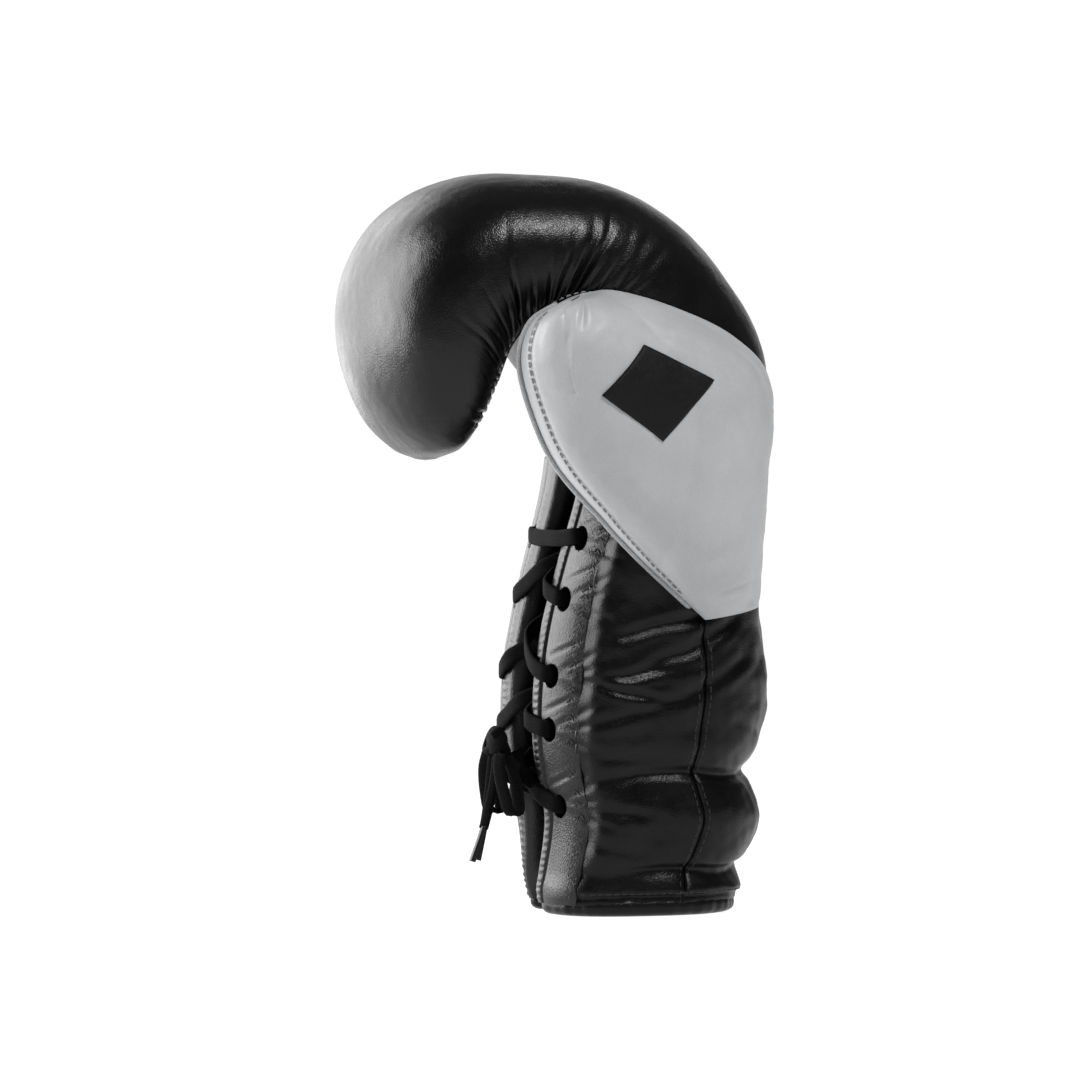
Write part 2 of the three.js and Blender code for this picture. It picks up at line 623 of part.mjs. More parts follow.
// ---- Thumb lock and the plain badge on the thumb ----
const lockStart = wall(12.2, 128, 1.1);
const lockEnd = thumb(4.9, 0.02, -0.12);
const lockMiddle = lockStart.clone().add(lockEnd).multiplyScalar(0.5).add(new THREE.Vector3(0, -1, -2));
add("thumb_lock", ribbon([lockStart, lockMiddle, lockEnd], 9, 1.5, 6), greyLeather);
const BADGE = { s: 3.75, t: 0.46 };
function badge(a, b, rho) {
  const s = BADGE.s + 0.5 * a + 0.3 * b;
  const t = BADGE.t + 0.17 * b - 0.06 * a;
  const low = thumb(Math.floor(s), t, 1);
  const high = thumb(Math.floor(s) + 1, t, 1);
  const at = low.lerp(high, s - Math.floor(s));
  at.y -= 0.9 + 0.7 * rho;
  return at;
}
add("thumb_badge", block(badge, [-1, -0.5, 0, 0.5, 1], [-1, -0.5, 0, 0.5, 1], 0, 1, false), piping);

// The origin is below the middle of the glove, on the surface that its cuff stands on.
const box = new THREE.Box3();
glove.children.forEach((mesh) => box.expandByObject(mesh, true));
glove.position.set(-(box.min.x + box.max.x) / 2, -(box.min.y + box.max.y) / 2, -box.min.z);
export default glove;
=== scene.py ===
import json
import math

import bmesh
import bpy
import numpy as np
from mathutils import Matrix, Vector
from mathutils.kdtree import KDTree


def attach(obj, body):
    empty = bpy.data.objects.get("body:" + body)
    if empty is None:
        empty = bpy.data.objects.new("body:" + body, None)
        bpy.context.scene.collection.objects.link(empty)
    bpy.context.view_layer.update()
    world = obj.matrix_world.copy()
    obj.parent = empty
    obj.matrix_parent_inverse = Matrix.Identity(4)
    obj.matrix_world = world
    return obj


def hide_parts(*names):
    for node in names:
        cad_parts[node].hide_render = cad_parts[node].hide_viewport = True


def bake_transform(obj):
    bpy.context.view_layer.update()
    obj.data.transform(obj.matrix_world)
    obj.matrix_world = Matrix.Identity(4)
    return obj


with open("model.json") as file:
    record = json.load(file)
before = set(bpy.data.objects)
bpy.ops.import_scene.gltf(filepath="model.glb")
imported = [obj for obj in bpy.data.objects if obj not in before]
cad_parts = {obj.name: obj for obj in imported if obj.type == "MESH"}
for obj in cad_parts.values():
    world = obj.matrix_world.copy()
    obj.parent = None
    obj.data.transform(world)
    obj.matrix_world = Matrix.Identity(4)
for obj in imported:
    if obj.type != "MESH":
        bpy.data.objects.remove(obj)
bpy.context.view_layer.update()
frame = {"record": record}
MM = 0.001
# The rest mount is 72 mm behind the middle of the hem in the glove's own layout.
REST = np.array(frame["record"]["mounts"][0]["pos_m"])
SHIFT = REST - np.array([0.072, 0.0, 0.0])
rng = np.random.default_rng(11)


def linked(name, data):
    obj = bpy.data.objects.new(name, data)
    bpy.context.scene.collection.objects.link(obj)
    return obj


def turned_to(obj, way):
    """Points the object's -Z axis along the way."""
    obj.rotation_mode = "QUATERNION"
    obj.rotation_quaternion = way.to_track_quat("-Z", "Y")


# ---------------------------------------------------------------- camera
AZIMUTH, ELEVATION, DISTANCE = math.radians(-20), math.radians(1), 3.2
FRAME_WIDTH = 0.4485 * MM * 1080
back = Vector((math.sin(AZIMUTH) * math.cos(ELEVATION), -math.cos(AZIMUTH) * math.cos(ELEVATION),
               math.sin(ELEVATION)))
right = Vector((math.cos(AZIMUTH), math.sin(AZIMUTH), 0))
up = back.cross(right)
aim = Vector(SHIFT) + Vector((0, 0, 0.165)) - right * 0.00647 + up * 0.0018
camera_data = bpy.data.cameras.new("camera")
camera_data.sensor_width = 36
camera_data.lens = 36 * DISTANCE / FRAME_WIDTH
camera_data.clip_start, camera_data.clip_end = 0.05, 20
camera = linked("camera", camera_data)
camera.location = aim + back * DISTANCE
turned_to(camera, -back)
bpy.context.scene.camera = camera

# ---------------------------------------------------------------- the glove's surfaces
STATIONS = np.array([
    [-8, 0, 78, 0, 46, 0.14, 0.86, 35],
    [-10.5, 10, 85, 10, 50, 0.14, 0.87, 37],
    [-11, 20, 86, 20, 50, 0.14, 0.87, 38],
    [-11.5, 42, 94, 42, 53, 0.13, 0.85, 39],
    [-16, 63, 89.5, 63, 53, 0.13, 0.87, 39],
    [-18.5, 80, 94, 80, 55.5, 0.13, 0.85, 40],
    [-18, 104, 97, 104, 56.5, 0.13, 0.83, 41],
    [-14, 130, 93, 130, 56, 0.13, 0.79, 42],
    [-6.5, 158, 91, 160, 58, 0.13, 0.71, 43],
    [2, 188, 93, 194, 61, 0.14, 0.64, 44],
    [5, 213, 95.5, 229, 63, 0.15, 0.6, 45],
    [-1, 233, 91, 256, 65, 0.16, 0.56, 46],
    [-11, 245, 76, 281.5, 66, 0.17, 0.52, 46],
    [-17, 253, 51.5, 308.5, 67, 0.18, 0.5, 46],
    [-22, 257, 21, 325.5, 67, 0.18, 0.48, 46],
    [-25, 258, -15, 329.5, 67, 0.18, 0.48, 46],
    [-29, 256, -50, 328, 66, 0.18, 0.48, 46],
    [-33, 250, -78, 312, 65, 0.18, 0.5, 45],
    [-35.5, 241, -94, 285, 62, 0.18, 0.52, 43],
    [-38, 231, -96, 253, 57, 0.2, 0.56, 38],
    [-42, 220, -86, 222, 46, 0.24, 0.62, 28],
    [-49, 208, -73, 207, 30, 0.3, 0.68, 14],
    [-58, 202.5, -65, 202.5, 9, 0.4, 0.6, 4],
])
THUMB = np.array([
    [50, 132, 84, 137, 4],
    [30, 149, 90, 163, 15],
    [3, 174, 92, 200, 25],
    [-22, 200, 88, 236, 30],
    [-35, 225, 62, 257.5, 31],
    [-41, 247, 31, 270.5, 29],
    [-37, 263, 4.5, 277.5, 22],
    [-25, 272, -9, 277, 10],
])
BACK_EXPONENT, PALM_EXPONENT = 2.3, 2.7
NEAR_EDGE, FAR_EDGE, FACING = 167.0, 184.5, 135.0
NEAR_HOLE, FAR_HOLE = NEAR_EDGE - 14.5, FAR_EDGE + 10.5
LACE_HOLES = [49, 83, 107, 141, 168]


def catmull(table, u):
    u = np.asarray(u, float)
    last = len(table) - 1
    padded = np.vstack([2 * table[0] - table[1], table, 2 * table[-1] - table[-2]])
    v = np.clip(u, 0, last)
    i = np.minimum(v.astype(int), last - 1)
    f = (v - i)[..., None]
    a, b, c, d = padded[i], padded[i + 1], padded[i + 2], padded[i + 3]
    return 0.5 * (2 * b + (c - a) * f + (2 * a - 5 * b + 4 * c - d) * f ** 2
                  + (-a + 3 * b - 3 * c + d) * f ** 3)


def spow(x, p):
    return np.sign(x) * np.abs(x) ** p


def smooth(x, lo, hi):
    t = np.clip((x - lo) / (hi - lo), 0, 1)
    return t * t * (3 - 2 * t)


def wall(u, degrees, rho):
    """A point of the glove's wall, mm: rho is 0 on the hollow and 1 on the outside."""
    u, degrees, rho = np.broadcast_arrays(np.asarray(u, float), np.asarray(degrees, float),
                                          np.asarray(rho, float))
    ix, iz, ox, oz, w, lo, hi, hollow = np.moveaxis(catmull(STATIONS, u), -1, 0)
    lap = smooth(3.6 - u, 0, 2.9)
    t = np.radians(degrees + 9 * lap * smooth(38 - np.abs(np.mod(degrees, 360) - 175), 0, 38))
    n = np.where(np.cos(t) > 0, BACK_EXPONENT, PALM_EXPONENT)
    q = spow(np.cos(t), 2 / n)
    side = -spow(np.sin(t), 2 / n)
    inner = (lo + hi) / 2 + (hi - lo) / 2 * q
    along = inner + (0.5 + 0.5 * q - inner) * rho
    y = side * (hollow + (w - hollow) * rho)
    return np.stack([ix + (ox - ix) * along + 0.18 * lap * y * (1 - along), y, iz + (oz - iz) * along], -1)


def wall_outer(u, degrees):
    return wall(u, degrees, 1.0)


SIDE_ROWS = catmull(STATIONS, np.arange(6, 18.001, 0.04))


def side_at(x, z):
    """Half width of the glove's thumb side over points of the XZ plane."""
    shape = np.shape(x)
    x, z = np.ravel(x)[:, None], np.ravel(z)[:, None]
    ix, iz, ox, oz, w = (SIDE_ROWS[:, k][None] for k in range(5))
    length = np.hypot(ox - ix, oz - iz)
    across = ((ox - ix) * (z - iz) - (oz - iz) * (x - ix)) / length
    along = ((ox - ix) * (x - ix) + (oz - iz) * (z - iz)) / length ** 2
    miss = np.abs(across) + 20 * np.maximum(0, np.maximum(-along, along - 1))
    best = miss.argmin(1)
    rows = np.arange(len(best))
    q = np.clip(2 * along[rows, best] - 1, -0.35, 0.97)
    wide = w[0][best]
    return (wide * (1 - np.abs(q) ** BACK_EXPONENT) ** (1 / BACK_EXPONENT)).reshape(shape)


def bump(x, width):
    return np.exp(-(x / width) ** 2)


def turn(deg):
    """An angle brought to -180 to 180 degrees."""
    return (np.asarray(deg, float) + 180) % 360 - 180


def line_folds(places, folds, power):
    """Depth of straight folds, mm, over places (..., 2): a fold is x, y, x, y, depth, width."""
    depth = np.zeros(places.shape[:-1])
    for x0, y0, x1, y1, deep, wide in folds:
        a, ab = np.array([x0, y0]), np.array([x1 - x0, y1 - y0])
        t = np.clip((places - a) @ ab / (ab @ ab), 0, 1)
        away = np.linalg.norm(places - (a + ab * t[..., None]), axis=-1)
        taper = np.sin(np.pi * np.clip(t, 0.03, 0.97)) ** power
        depth += deep * taper * (bump(away, wide) - 0.3 * bump(away - wide * 2, wide))
    return depth


def waves(points, scale, count, seed):
    """Smooth seeded noise in space, about -1 to 1."""
    r = np.random.default_rng(seed)
    total = np.zeros(points.shape[:-1])
    for _ in range(count):
        direction = r.normal(size=3)
        direction /= np.linalg.norm(direction)
        total += np.sin(points @ direction * (2 * math.pi / scale) * r.uniform(0.6, 1.5)
                        + r.uniform(0, 6.28))
    return total / math.sqrt(count / 2) / 1.6


def unit(v):
    return v / (np.linalg.norm(v, axis=-1, keepdims=True) + 1e-9)


def normals_of(p):
    """Unit normals of a grid of points."""
    return unit(np.cross(np.gradient(p, axis=1), np.gradient(p, axis=0)))


# ---------------------------------------------------------------- mesh helpers
def new_object(name, verts, faces):
    mesh = bpy.data.meshes.new(name)
    mesh.from_pydata([tuple(v) for v in np.asarray(verts, float) * MM + SHIFT], [], faces)
    mesh.validate()
    mesh.update()
    mesh.polygons.foreach_set("use_smooth", [True] * len(mesh.polygons))
    return linked(name, mesh)


def fix_normals(obj):
    bm = bmesh.new()
    bm.from_mesh(obj.data)
    bmesh.ops.remove_doubles(bm, verts=bm.verts, dist=1e-6)
    bmesh.ops.recalc_face_normals(bm, faces=bm.faces)
    bm.to_mesh(obj.data)
    bm.free()
    return obj


def tube_quads(n, m, closed=False):
    """The quads of n rings of m points: closed joins the last ring to the first."""
    quads = []
    for i in range(n if closed else n - 1):
        for j in range(m):
            k, over = (i + 1) % n * m, (j + 1) % m
            quads.append((i * m + j, i * m + over, k + over, k + j))
    return quads


def slab(name, outer, inner):
    """A closed piece between two grids of points, joined round its rim."""
    n, m = outer.shape[:2]
    verts = np.concatenate([outer.reshape(-1, 3), inner.reshape(-1, 3)])
    faces = []
    layer = n * m
    at = lambda i, j: i * m + j
    for i in range(n - 1):
        for j in range(m - 1):
            faces.append((at(i, j), at(i, j + 1), at(i + 1, j + 1), at(i + 1, j)))
            faces.append((layer + at(i, j), layer + at(i + 1, j), layer + at(i + 1, j + 1),
                          layer + at(i, j + 1)))
    border = ([(0, j) for j in range(m)] + [(i, m - 1) for i in range(1, n)]
              + [(n - 1, j) for j in range(m - 2, -1, -1)] + [(i, 0) for i in range(n - 2, 0, -1)])
    ring = [at(i, j) for i, j in border]
    for a, b in zip(ring, ring[1:] + ring[:1]):
        faces.append((a, layer + a, layer + b, b))
    return fix_normals(new_object(name, verts, faces))


def loft(name, rings, closed=False, caps=True):
    """Rings of points (k, m, 3) joined in order, with flat ends."""
    k, m = rings.shape[:2]
    verts = rings.reshape(-1, 3)
    faces = tube_quads(k, m, closed)
    if caps and not closed:
        verts = np.concatenate([verts, rings[0].mean(0)[None], rings[-1].mean(0)[None]])
        for j in range(m):
            faces.append((k * m, (j + 1) % m, j))
            faces.append((k * m + 1, (k - 1) * m + j, (k - 1) * m + (j + 1) % m))
    return fix_normals(new_object(name, verts, faces))


LEATHER_THICK, CUFF_THICK = 1.6, 1.7
SKIN_SLACK, SKIN_REACH = 0.8, 1.8  # how far a skin starts inside its pads, and how far it may swell, mm
SKIN_VOXEL, SKIN_BLUR, SKIN_NEAR = 0.005, 0.0065, 16  # m, m, and how many voxel corners are averaged
PRESSURE, PRESSED_FRAMES = 40, 20


def inflate(name, rings, seams, most):
    """Swells a closed leather skin over its foam with a cloth simulation, held at its seams.

    rings are the skin's sections in mm and seams the points of its stitched lines. The result is a
    function of places and normals: the height of the swollen skin over the place, in mm, at most most."""
    n, m = rings.shape[:2]
    ends = [tuple(range(m))[::-1], tuple(range((n - 1) * m, n * m))]
    obj = fix_normals(new_object(name, rings.reshape(-1, 3), tube_quads(n, m) + ends))
    remesh = obj.modifiers.new("voxels", "REMESH")
    remesh.mode = "VOXEL"
    remesh.voxel_size = SKIN_VOXEL
    with bpy.context.temp_override(object=obj, active_object=obj, selected_objects=[obj]):
        bpy.ops.object.modifier_apply(modifier=remesh.name)
    rest = np.array([v.co[:] for v in obj.data.vertices])
    held = KDTree(len(seams))
    for i, point in enumerate(seams):
        held.insert(point * MM + SHIFT, i)
    held.balance()
    group = obj.vertex_groups.new(name="seams")
    for i, point in enumerate(rest):
        group.add([i], float(1 - smooth(held.find(point)[2] / MM, 3, 7)), "REPLACE")
    cloth = obj.modifiers.new("cloth", "CLOTH")
    settings = cloth.settings
    settings.vertex_group_mass = "seams"
    settings.use_pressure = True
    settings.uniform_pressure_force = PRESSURE
    settings.effector_weights.gravity = 0
    settings.mass = 0.004
    settings.air_damping = 0.5
    settings.tension_stiffness = settings.compression_stiffness = 1.5
    settings.shear_stiffness = 0.8
    settings.bending_stiffness = 0.1
    settings.tension_damping = settings.compression_damping = settings.shear_damping = 0.5
    settings.quality = 4
    for frame_number in range(1, PRESSED_FRAMES + 1):
        bpy.context.scene.frame_set(frame_number)
    swollen = obj.evaluated_get(bpy.context.evaluated_depsgraph_get()).data
    moved = (np.array([v.co[:] for v in swollen.vertices]) - rest) / MM
    far = np.linalg.norm(moved, axis=1, keepdims=True)
    moved *= SKIN_REACH / np.maximum(far, SKIN_REACH)
    bpy.context.scene.frame_set(1)
    bpy.data.objects.remove(obj)
    tree = KDTree(len(rest))
    for i, point in enumerate(rest):
        tree.insert(point, i)
    tree.balance()

    def height(places, normals):
        out = []
        for place in (places * MM + SHIFT).reshape(-1, 3):
            near = tree.find_n(place, SKIN_NEAR)
            weight = np.exp(-(np.array([x[2] for x in near]) / SKIN_BLUR) ** 2)
            out.append(weight @ moved[[x[1] for x in near]] / max(weight.sum(), 1e-12))
        high = (np.array(out).reshape(places.shape) * normals).sum(-1) - SKIN_SLACK
        return most * np.tanh(high / most)

    return height


def run_of(line):
    """Length along a line at each of its points."""
    return np.concatenate([[0], np.cumsum(np.linalg.norm(np.diff(line, axis=0), axis=1))])


def resample(points, step):
    """A smooth line through points (centripetal), with even steps."""
    p = np.asarray(points, float)
    ext = np.vstack([2 * p[0] - p[1], p, 2 * p[-1] - p[-2]])
    out = []
    for i in range(len(p) - 1):
        a, b, c, d = ext[i:i + 4]
        t0 = 0
        t1 = t0 + np.linalg.norm(b - a) ** 0.5
        t2 = t1 + np.linalg.norm(c - b) ** 0.5
        t3 = t2 + np.linalg.norm(d - c) ** 0.5
        for t in np.linspace(t1, t2, 24, endpoint=False):
            a1 = (t1 - t) / (t1 - t0) * a + (t - t0) / (t1 - t0) * b
            a2 = (t2 - t) / (t2 - t1) * b + (t - t1) / (t2 - t1) * c
            a3 = (t3 - t) / (t3 - t2) * c + (t - t2) / (t3 - t2) * d
            b1 = (t2 - t) / (t2 - t0) * a1 + (t - t0) / (t2 - t0) * a2
            b2 = (t3 - t) / (t3 - t1) * a2 + (t - t1) / (t3 - t1) * a3
            out.append((t2 - t) / (t2 - t1) * b1 + (t - t1) / (t2 - t1) * b2)
    out.append(p[-1])
    out = np.array(out)
    s = run_of(out)
    n = max(2, int(round(s[-1] / step)) + 1)
    at = np.linspace(0, s[-1], n)
    return np.stack([np.interp(at, s, out[:, k]) for k in range(3)], -1)


def sweep(line, wide, out, w, h):
    """Rings round a line: w and h are each ring's reach along wide and out."""
    return line[:, None] + wide[:, None] * w[..., None] + out[:, None] * h[..., None]


def ribbon_rings(line, width, thick, wide_axis, sides=12):
    t = unit(np.gradient(line, axis=0))
    wide = unit(np.asarray(wide_axis, float)[None] - t * (t @ np.asarray(wide_axis, float))[:, None])
    a = (np.arange(sides) + 0.5) * 2 * math.pi / sides
    w, h = spow(np.cos(a), 0.55) * width / 2, spow(np.sin(a), 0.75) * thick / 2
    return sweep(line, wide, np.cross(t, wide), w, h)


def tube(name, points, radius, sides=10):
    line = resample(points, 1.2)
    t = unit(np.gradient(line, axis=0))
    u = unit(np.cross(t, [0.3, 0.5, 0.81]))
    a = np.arange(sides) * 2 * math.pi / sides
    r = np.full((len(line), 1), radius)
    r[[0, -1]] *= 0.5
    return loft(name, sweep(line, u, np.cross(t, u), r * np.cos(a), r * np.sin(a)))


def stitches(name, seats):
    """Thread stitches in one mesh: seats are (point, along, normal, length, radius), mm."""
    verts, faces = [], []
    for p, along, normal, length, radius in seats:
        along, normal = unit(along), unit(normal)
        across = np.cross(along, normal)
        base = len(verts)
        sides = 6
        profile = [(-0.5, -0.5, 0.35), (-0.36, 0.25, 0.85), (0, 0.5, 1.0), (0.36, 0.25, 0.85),
                   (0.5, -0.5, 0.35)]
        for s, lift, size in profile:
            c = p + along * s * length + normal * lift * radius
            for k in range(sides):
                a = k * 2 * math.pi / sides
                verts.append(c + (across * math.cos(a) + normal * math.sin(a)) * radius * size)
        rows = len(profile)
        faces += [tuple(base + v for v in quad) for quad in tube_quads(rows, sides)]
        faces.append(tuple(base + k for k in range(sides))[::-1])
        faces.append(tuple(base + (rows - 1) * sides + k for k in range(sides)))
    return fix_normals(new_object(name, np.array(verts), faces))


def stitch_row(surface, line, spacing, length, radius, slant=0.0):
    """Seats along a line of surface parameters: surface(a, b) gives a point."""
    line = np.asarray(line, float)
    s = np.linspace(0, len(line) - 1, 600)
    a = np.interp(s, np.arange(len(line)), line[:, 0])
    b = np.interp(s, np.arange(len(line)), line[:, 1])
    p = surface(a, b)
    run = run_of(p)
    n = int(run[-1] / spacing)
    at = (np.arange(n) + 0.5) * spacing
    a, b = np.interp(at, run, a), np.interp(at, run, b)
    p = surface(a, b)
    e = 0.02
    pa = (surface(a + e, b) - surface(a - e, b))
    pb = (surface(a, b + e * 20) - surface(a, b - e * 20))
    normal, along = unit(np.cross(pb, pa)), unit(np.gradient(p, axis=0))
    across = np.cross(along, normal)
    return [(p[i] + normal[i] * 0.1, along[i] + across[i] * slant, normal[i], length, radius)
            for i in range(n)]


# ---------------------------------------------------------------- outside of the hand and fist
def cuff_top(deg):
    """Station of the seam where the cuff joins the hand, by angle from the back."""
    d = np.abs(turn(deg))
    return 7.42 + 1.56 * smooth(d, 62, 96) + 0.66 * (d > 135.2)


def gather_angle(u):
    """Angle of the gathered seam, from the back of the hand, along the stations."""
    return np.interp(u, [9, 12, 13, 14, 14.6, 15.3, 16, 17, 18, 19, 20, 22],
                     [112, 104, 106, 113, 121, 132, 141, 149, 154, 158, 160, 160])


PLEATS = []
for sign in (1, -1):
    position = 12.9
    while position < 20.3:
        long_one = rng.uniform() < 0.45
        PLEATS.append((sign, position, rng.uniform(1.7, 2.7) * (1 if long_one else 0.6),
                       rng.uniform(0.024, 0.036), rng.uniform(50, 84) if long_one else rng.uniform(24, 48),
                       rng.uniform(-0.55, 0.15) if position > 16 else rng.uniform(-0.12, 0.3),
                       rng.uniform(0, 6.28)))
        position += rng.uniform(0.17, 0.36)


def pleat_depth(u, deg):
    """Depth of the gathers, mm, pulled in along lines that fan out from the crook."""
    d = turn(deg)
    total = np.zeros_like(u)
    seam = gather_angle(u)
    away = seam - np.abs(d)
    for sign, at, deep, wide, reach, lean, phase in PLEATS:
        near = (d * sign > 0) & (np.abs(u - at) < 1.6)
        strong = np.where(away > 0, (1 - smooth(away, 5, reach)), 0.8 * (1 - smooth(-away, 0, 24)))
        line = at + lean * np.maximum(away, 0) / 50 + 0.03 * np.sin(away / 8 + phase)
        widen = wide * (1 + 1.1 * np.clip(away, 0, 70) / 70)
        x = (u - line) / widen
        crease = np.exp(-np.abs(x)) * (1 + np.abs(x) * 0.4) - 0.2 * np.exp(-((np.abs(x) - 2.9) / 1.3) ** 2)
        total += np.where(near, strong * deep * crease, 0)
    fade = (0.35 + 0.65 * smooth(u, 13.4, 14.6)) * smooth(u, 12.5, 13.2) * (1 - smooth(u, 19.4, 20.9))
    return np.clip(total * fade, -1.6, 4.0)


def body_displacement(u, deg, p):
    d = turn(deg)
    seam = gather_angle(u)
    off = np.abs(d) - seam
    groove = 1.5 * bump(off, 2.6) * smooth(u, 9.2, 12) * (1 - smooth(u, 20.2, 21.4))
    puff = 1.0 * bump(off + 9, 7) * smooth(u, 12.5, 14) * (1 - smooth(u, 18, 20))
    cuff_seam = 1.4 * bump((u - cuff_top(deg)) * 28, 2.2)
    wrinkle = (0.34 * waves(p, 62, 9, 1) + 0.1 * waves(p, 23, 12, 2)) * (1 - 0.5 * smooth(u, 15, 17))
    fine = 0.10 * waves(p, 8, 14, 3) * (0.4 + 0.6 * bump(off, 40))
    return -pleat_depth(u, deg) - groove + puff - cuff_seam + wrinkle * smooth(u, 7.4, 8.5) + fine


def facing_out(normal, p, u, deg):
    """The normals of a grid on the wall, all turned to the outside."""
    return normal * np.sign((normal * (p - wall(u, deg, 0.5))).sum(-1).mean())


def hand_and_fist():
    """The one leather skin of the hand and the fist, with its gathers."""
    n, m = 700, 240
    deg = np.linspace(0, 360, m, endpoint=False)
    t = np.interp(np.linspace(0, 1, n), [0, 0.17, 0.9, 1], [0, 0.37, 0.87, 1])[:, None]
    start = cuff_top(deg)[None] - 0.06
    u = start + (21.985 - start) * t
    D = np.broadcast_to(deg[None], u.shape)
    p = wall(u, D, 1.0)
    wrapped = np.concatenate([p[:, -2:], p, p[:, :2]], 1)
    normal = facing_out(normals_of(wrapped)[:, 2:-2], p, u, D)
    seam_u = np.linspace(12.6, 18.5, 40)
    seams = [wall(seam_u, sign * gather_angle(seam_u), 1.0) for sign in (1, -1)] + [p[0, ::4], p[-1, ::4]]
    swell = inflate("hand_skin", (p - normal * SKIN_SLACK)[::9, ::5], np.concatenate(seams), 1.2)
    swollen = swell(p, normal)
    # keeps the tip, where the rings close up, free of displacement
    calm = 1 - smooth(u, 21.4, 21.95)
    out = p + normal * (body_displacement(u, D, p) * calm + swollen)[..., None]
    inner = out - normal * LEATHER_THICK
    verts = np.concatenate([out.reshape(-1, 3), inner.reshape(-1, 3)])
    layer = n * m
    faces = [face for a, b, c, d in tube_quads(n, m)
             for face in ((a, b, c, d), (layer + a, layer + d, layer + c, layer + b))]
    for j in range(m):
        a, b = j, (j + 1) % m
        faces.append((a, layer + a, layer + b, b))
    last = (n - 1) * m
    verts = np.concatenate([verts, out[-1].mean(0)[None] + np.array([[0, 0, -0.6]]),
                            inner[-1].mean(0)[None]])
    for j in range(m):
        a, b = last + j, last + (j + 1) % m
        faces.append((a, b, 2 * layer))
        faces.append((layer + b, layer + a, 2 * layer + 1))
    return fix_normals(new_object("hand_and_fist_leather", verts, faces))


# ---------------------------------------------------------------- cuff
ROLL_SEAMS = (1.99, 3.99)
CUFF_FOLDS = [  # u, degrees, u, degrees, depth, width of each fold on the cuff
    (7.3, 66, 6.75, 118, 1.6, 2.4), (7.1, 60, 6.1, 110, 1.5, 2.6), (6.5, 52, 5.6, 96, 1.0, 2.6),
    (5.6, 92, 5.25, 128, 0.9, 2.4), (4.4, 90, 4.55, 126, 1.0, 2.8), (3.1, 95, 3.3, 128, 0.8, 2.6),
    (5.0, 20, 5.3, 60, 0.7, 3.0), (6.3, 84, 6.0, 132, 0.9, 2.2), (2.4, 98, 2.6, 130, 0.7, 2.2),
    (6.05, 134, 5.7, 92, 1.3, 1.7),
]
# Wrinkles that the laces pull into the flaps: a negative station is a distance along the cuff in mm.
for hole in LACE_HOLES:
    CUFF_FOLDS += [
        (-hole - 2, 149, -hole - 12, 121, 0.65, 1.6), (-hole + 2, 148, -hole + 9, 118, 0.55, 1.5),
        (-hole - 9, 156, -hole - 16, 134, 0.5, 1.2), (-hole - 1, 146, -hole - 3, 124, 0.5, 1.2),
    ]


def station_mm(u):
    """Rough distance along the cuff of a station."""
    return np.interp(u, [0, 1, 2, 3, 4, 5, 6, 7, 8, 9], [0, 10, 20, 42, 63, 80, 104, 130, 159, 191])


def fold_depth(z, d):
    """Depth of the folds of the cuff and the flaps, mm, at a distance along the cuff and an angle."""
    along = lambda u: station_mm(u) if u > 0 else -u
    folds = [(along(u0), d0 * 0.95, along(u1), d1 * 0.95, *size) for u0, d0, u1, d1, *size in CUFF_FOLDS]
    return line_folds(np.stack(np.broadcast_arrays(z, np.abs(d) * 0.95), -1), folds, 0.6)


def cuff_displacement(u, deg, p):
    d = turn(deg)
    z = station_mm(u)
    depth = np.zeros_like(u)
    reach = 1 - smooth(np.abs(d), 78, 118) * 0.8
    for seam in ROLL_SEAMS:
        wavy = z - station_mm(seam) - 1.0 * np.sin(np.radians(d) * 5)
        depth += (2.6 * bump(wavy, 2.6) + 1.4 * bump(wavy, 9)) * reach
    depth += 1.3 * bump((u - cuff_top(deg)) * 26, 2.4)
    depth += 1.3 * bump(z - 8.2, 1.6)
    for side in (-1, 1):
        depth += 0.9 * bump((d - side * 80) * 0.9, 1.3) * smooth(z, 8, 14) * (1 - smooth(z, 132, 142))
    depth += fold_depth(z, d)
    ridge = smooth(135 - np.abs(d), 0, 14) * (1 - smooth(118 - np.abs(d), 0, 22))
    depth -= 3.8 * ridge * smooth(z, 12, 34)
    bulge = 0.5 * waves(p, 48, 9, 5) + 0.3 * waves(p, 20, 12, 6) + 0.1 * waves(p, 8, 12, 7)
    return bulge - depth


def cuff_swelling():
    u, d = np.meshgrid(np.linspace(0.5, 9.0, 60), np.linspace(-135, 135, 70), indexing="ij")
    u = np.minimum(u, cuff_top(d))
    p = wall(u, d, 1.0)
    normal = facing_out(normals_of(p), p, u, d)
    across, along = np.linspace(-118, 118, 90), np.linspace(0.5, 7.4, 60)
    seams = [wall(np.full_like(across, seam), across, 1.0) for seam in (0.5,) + ROLL_SEAMS]
    seams += [wall(along, np.full_like(along, side), 1.0) for side in (-80, 80)] + [p[-1]]
    rings = np.concatenate([p - normal * SKIN_SLACK, wall(u, d, 0.05)[:, ::-1]], 1)
    swell = inflate("cuff_skin", rings, np.concatenate(seams), 1.2)
    return lambda places, normals, angles: swell(places, normals) * (1 - smooth(np.abs(angles), 114, 127))


def cuff_panel(name, d0, d1, m, n=230):
    deg = np.linspace(d0, d1, m)
    t = np.linspace(0, 1, n)[:, None]
    top = cuff_top(deg)[None] + 0.02
    u = 0.5 + (top - 0.5) * t
    D = np.broadcast_to(deg[None], u.shape)
    p = wall(u, D, 1.0)
    normal = facing_out(normals_of(p), p, u, D)
    out = p + normal * (cuff_displacement(u, D, p) + swell_cuff(p, normal, D))[..., None]
    return slab(name, out, out - normal * CUFF_THICK)


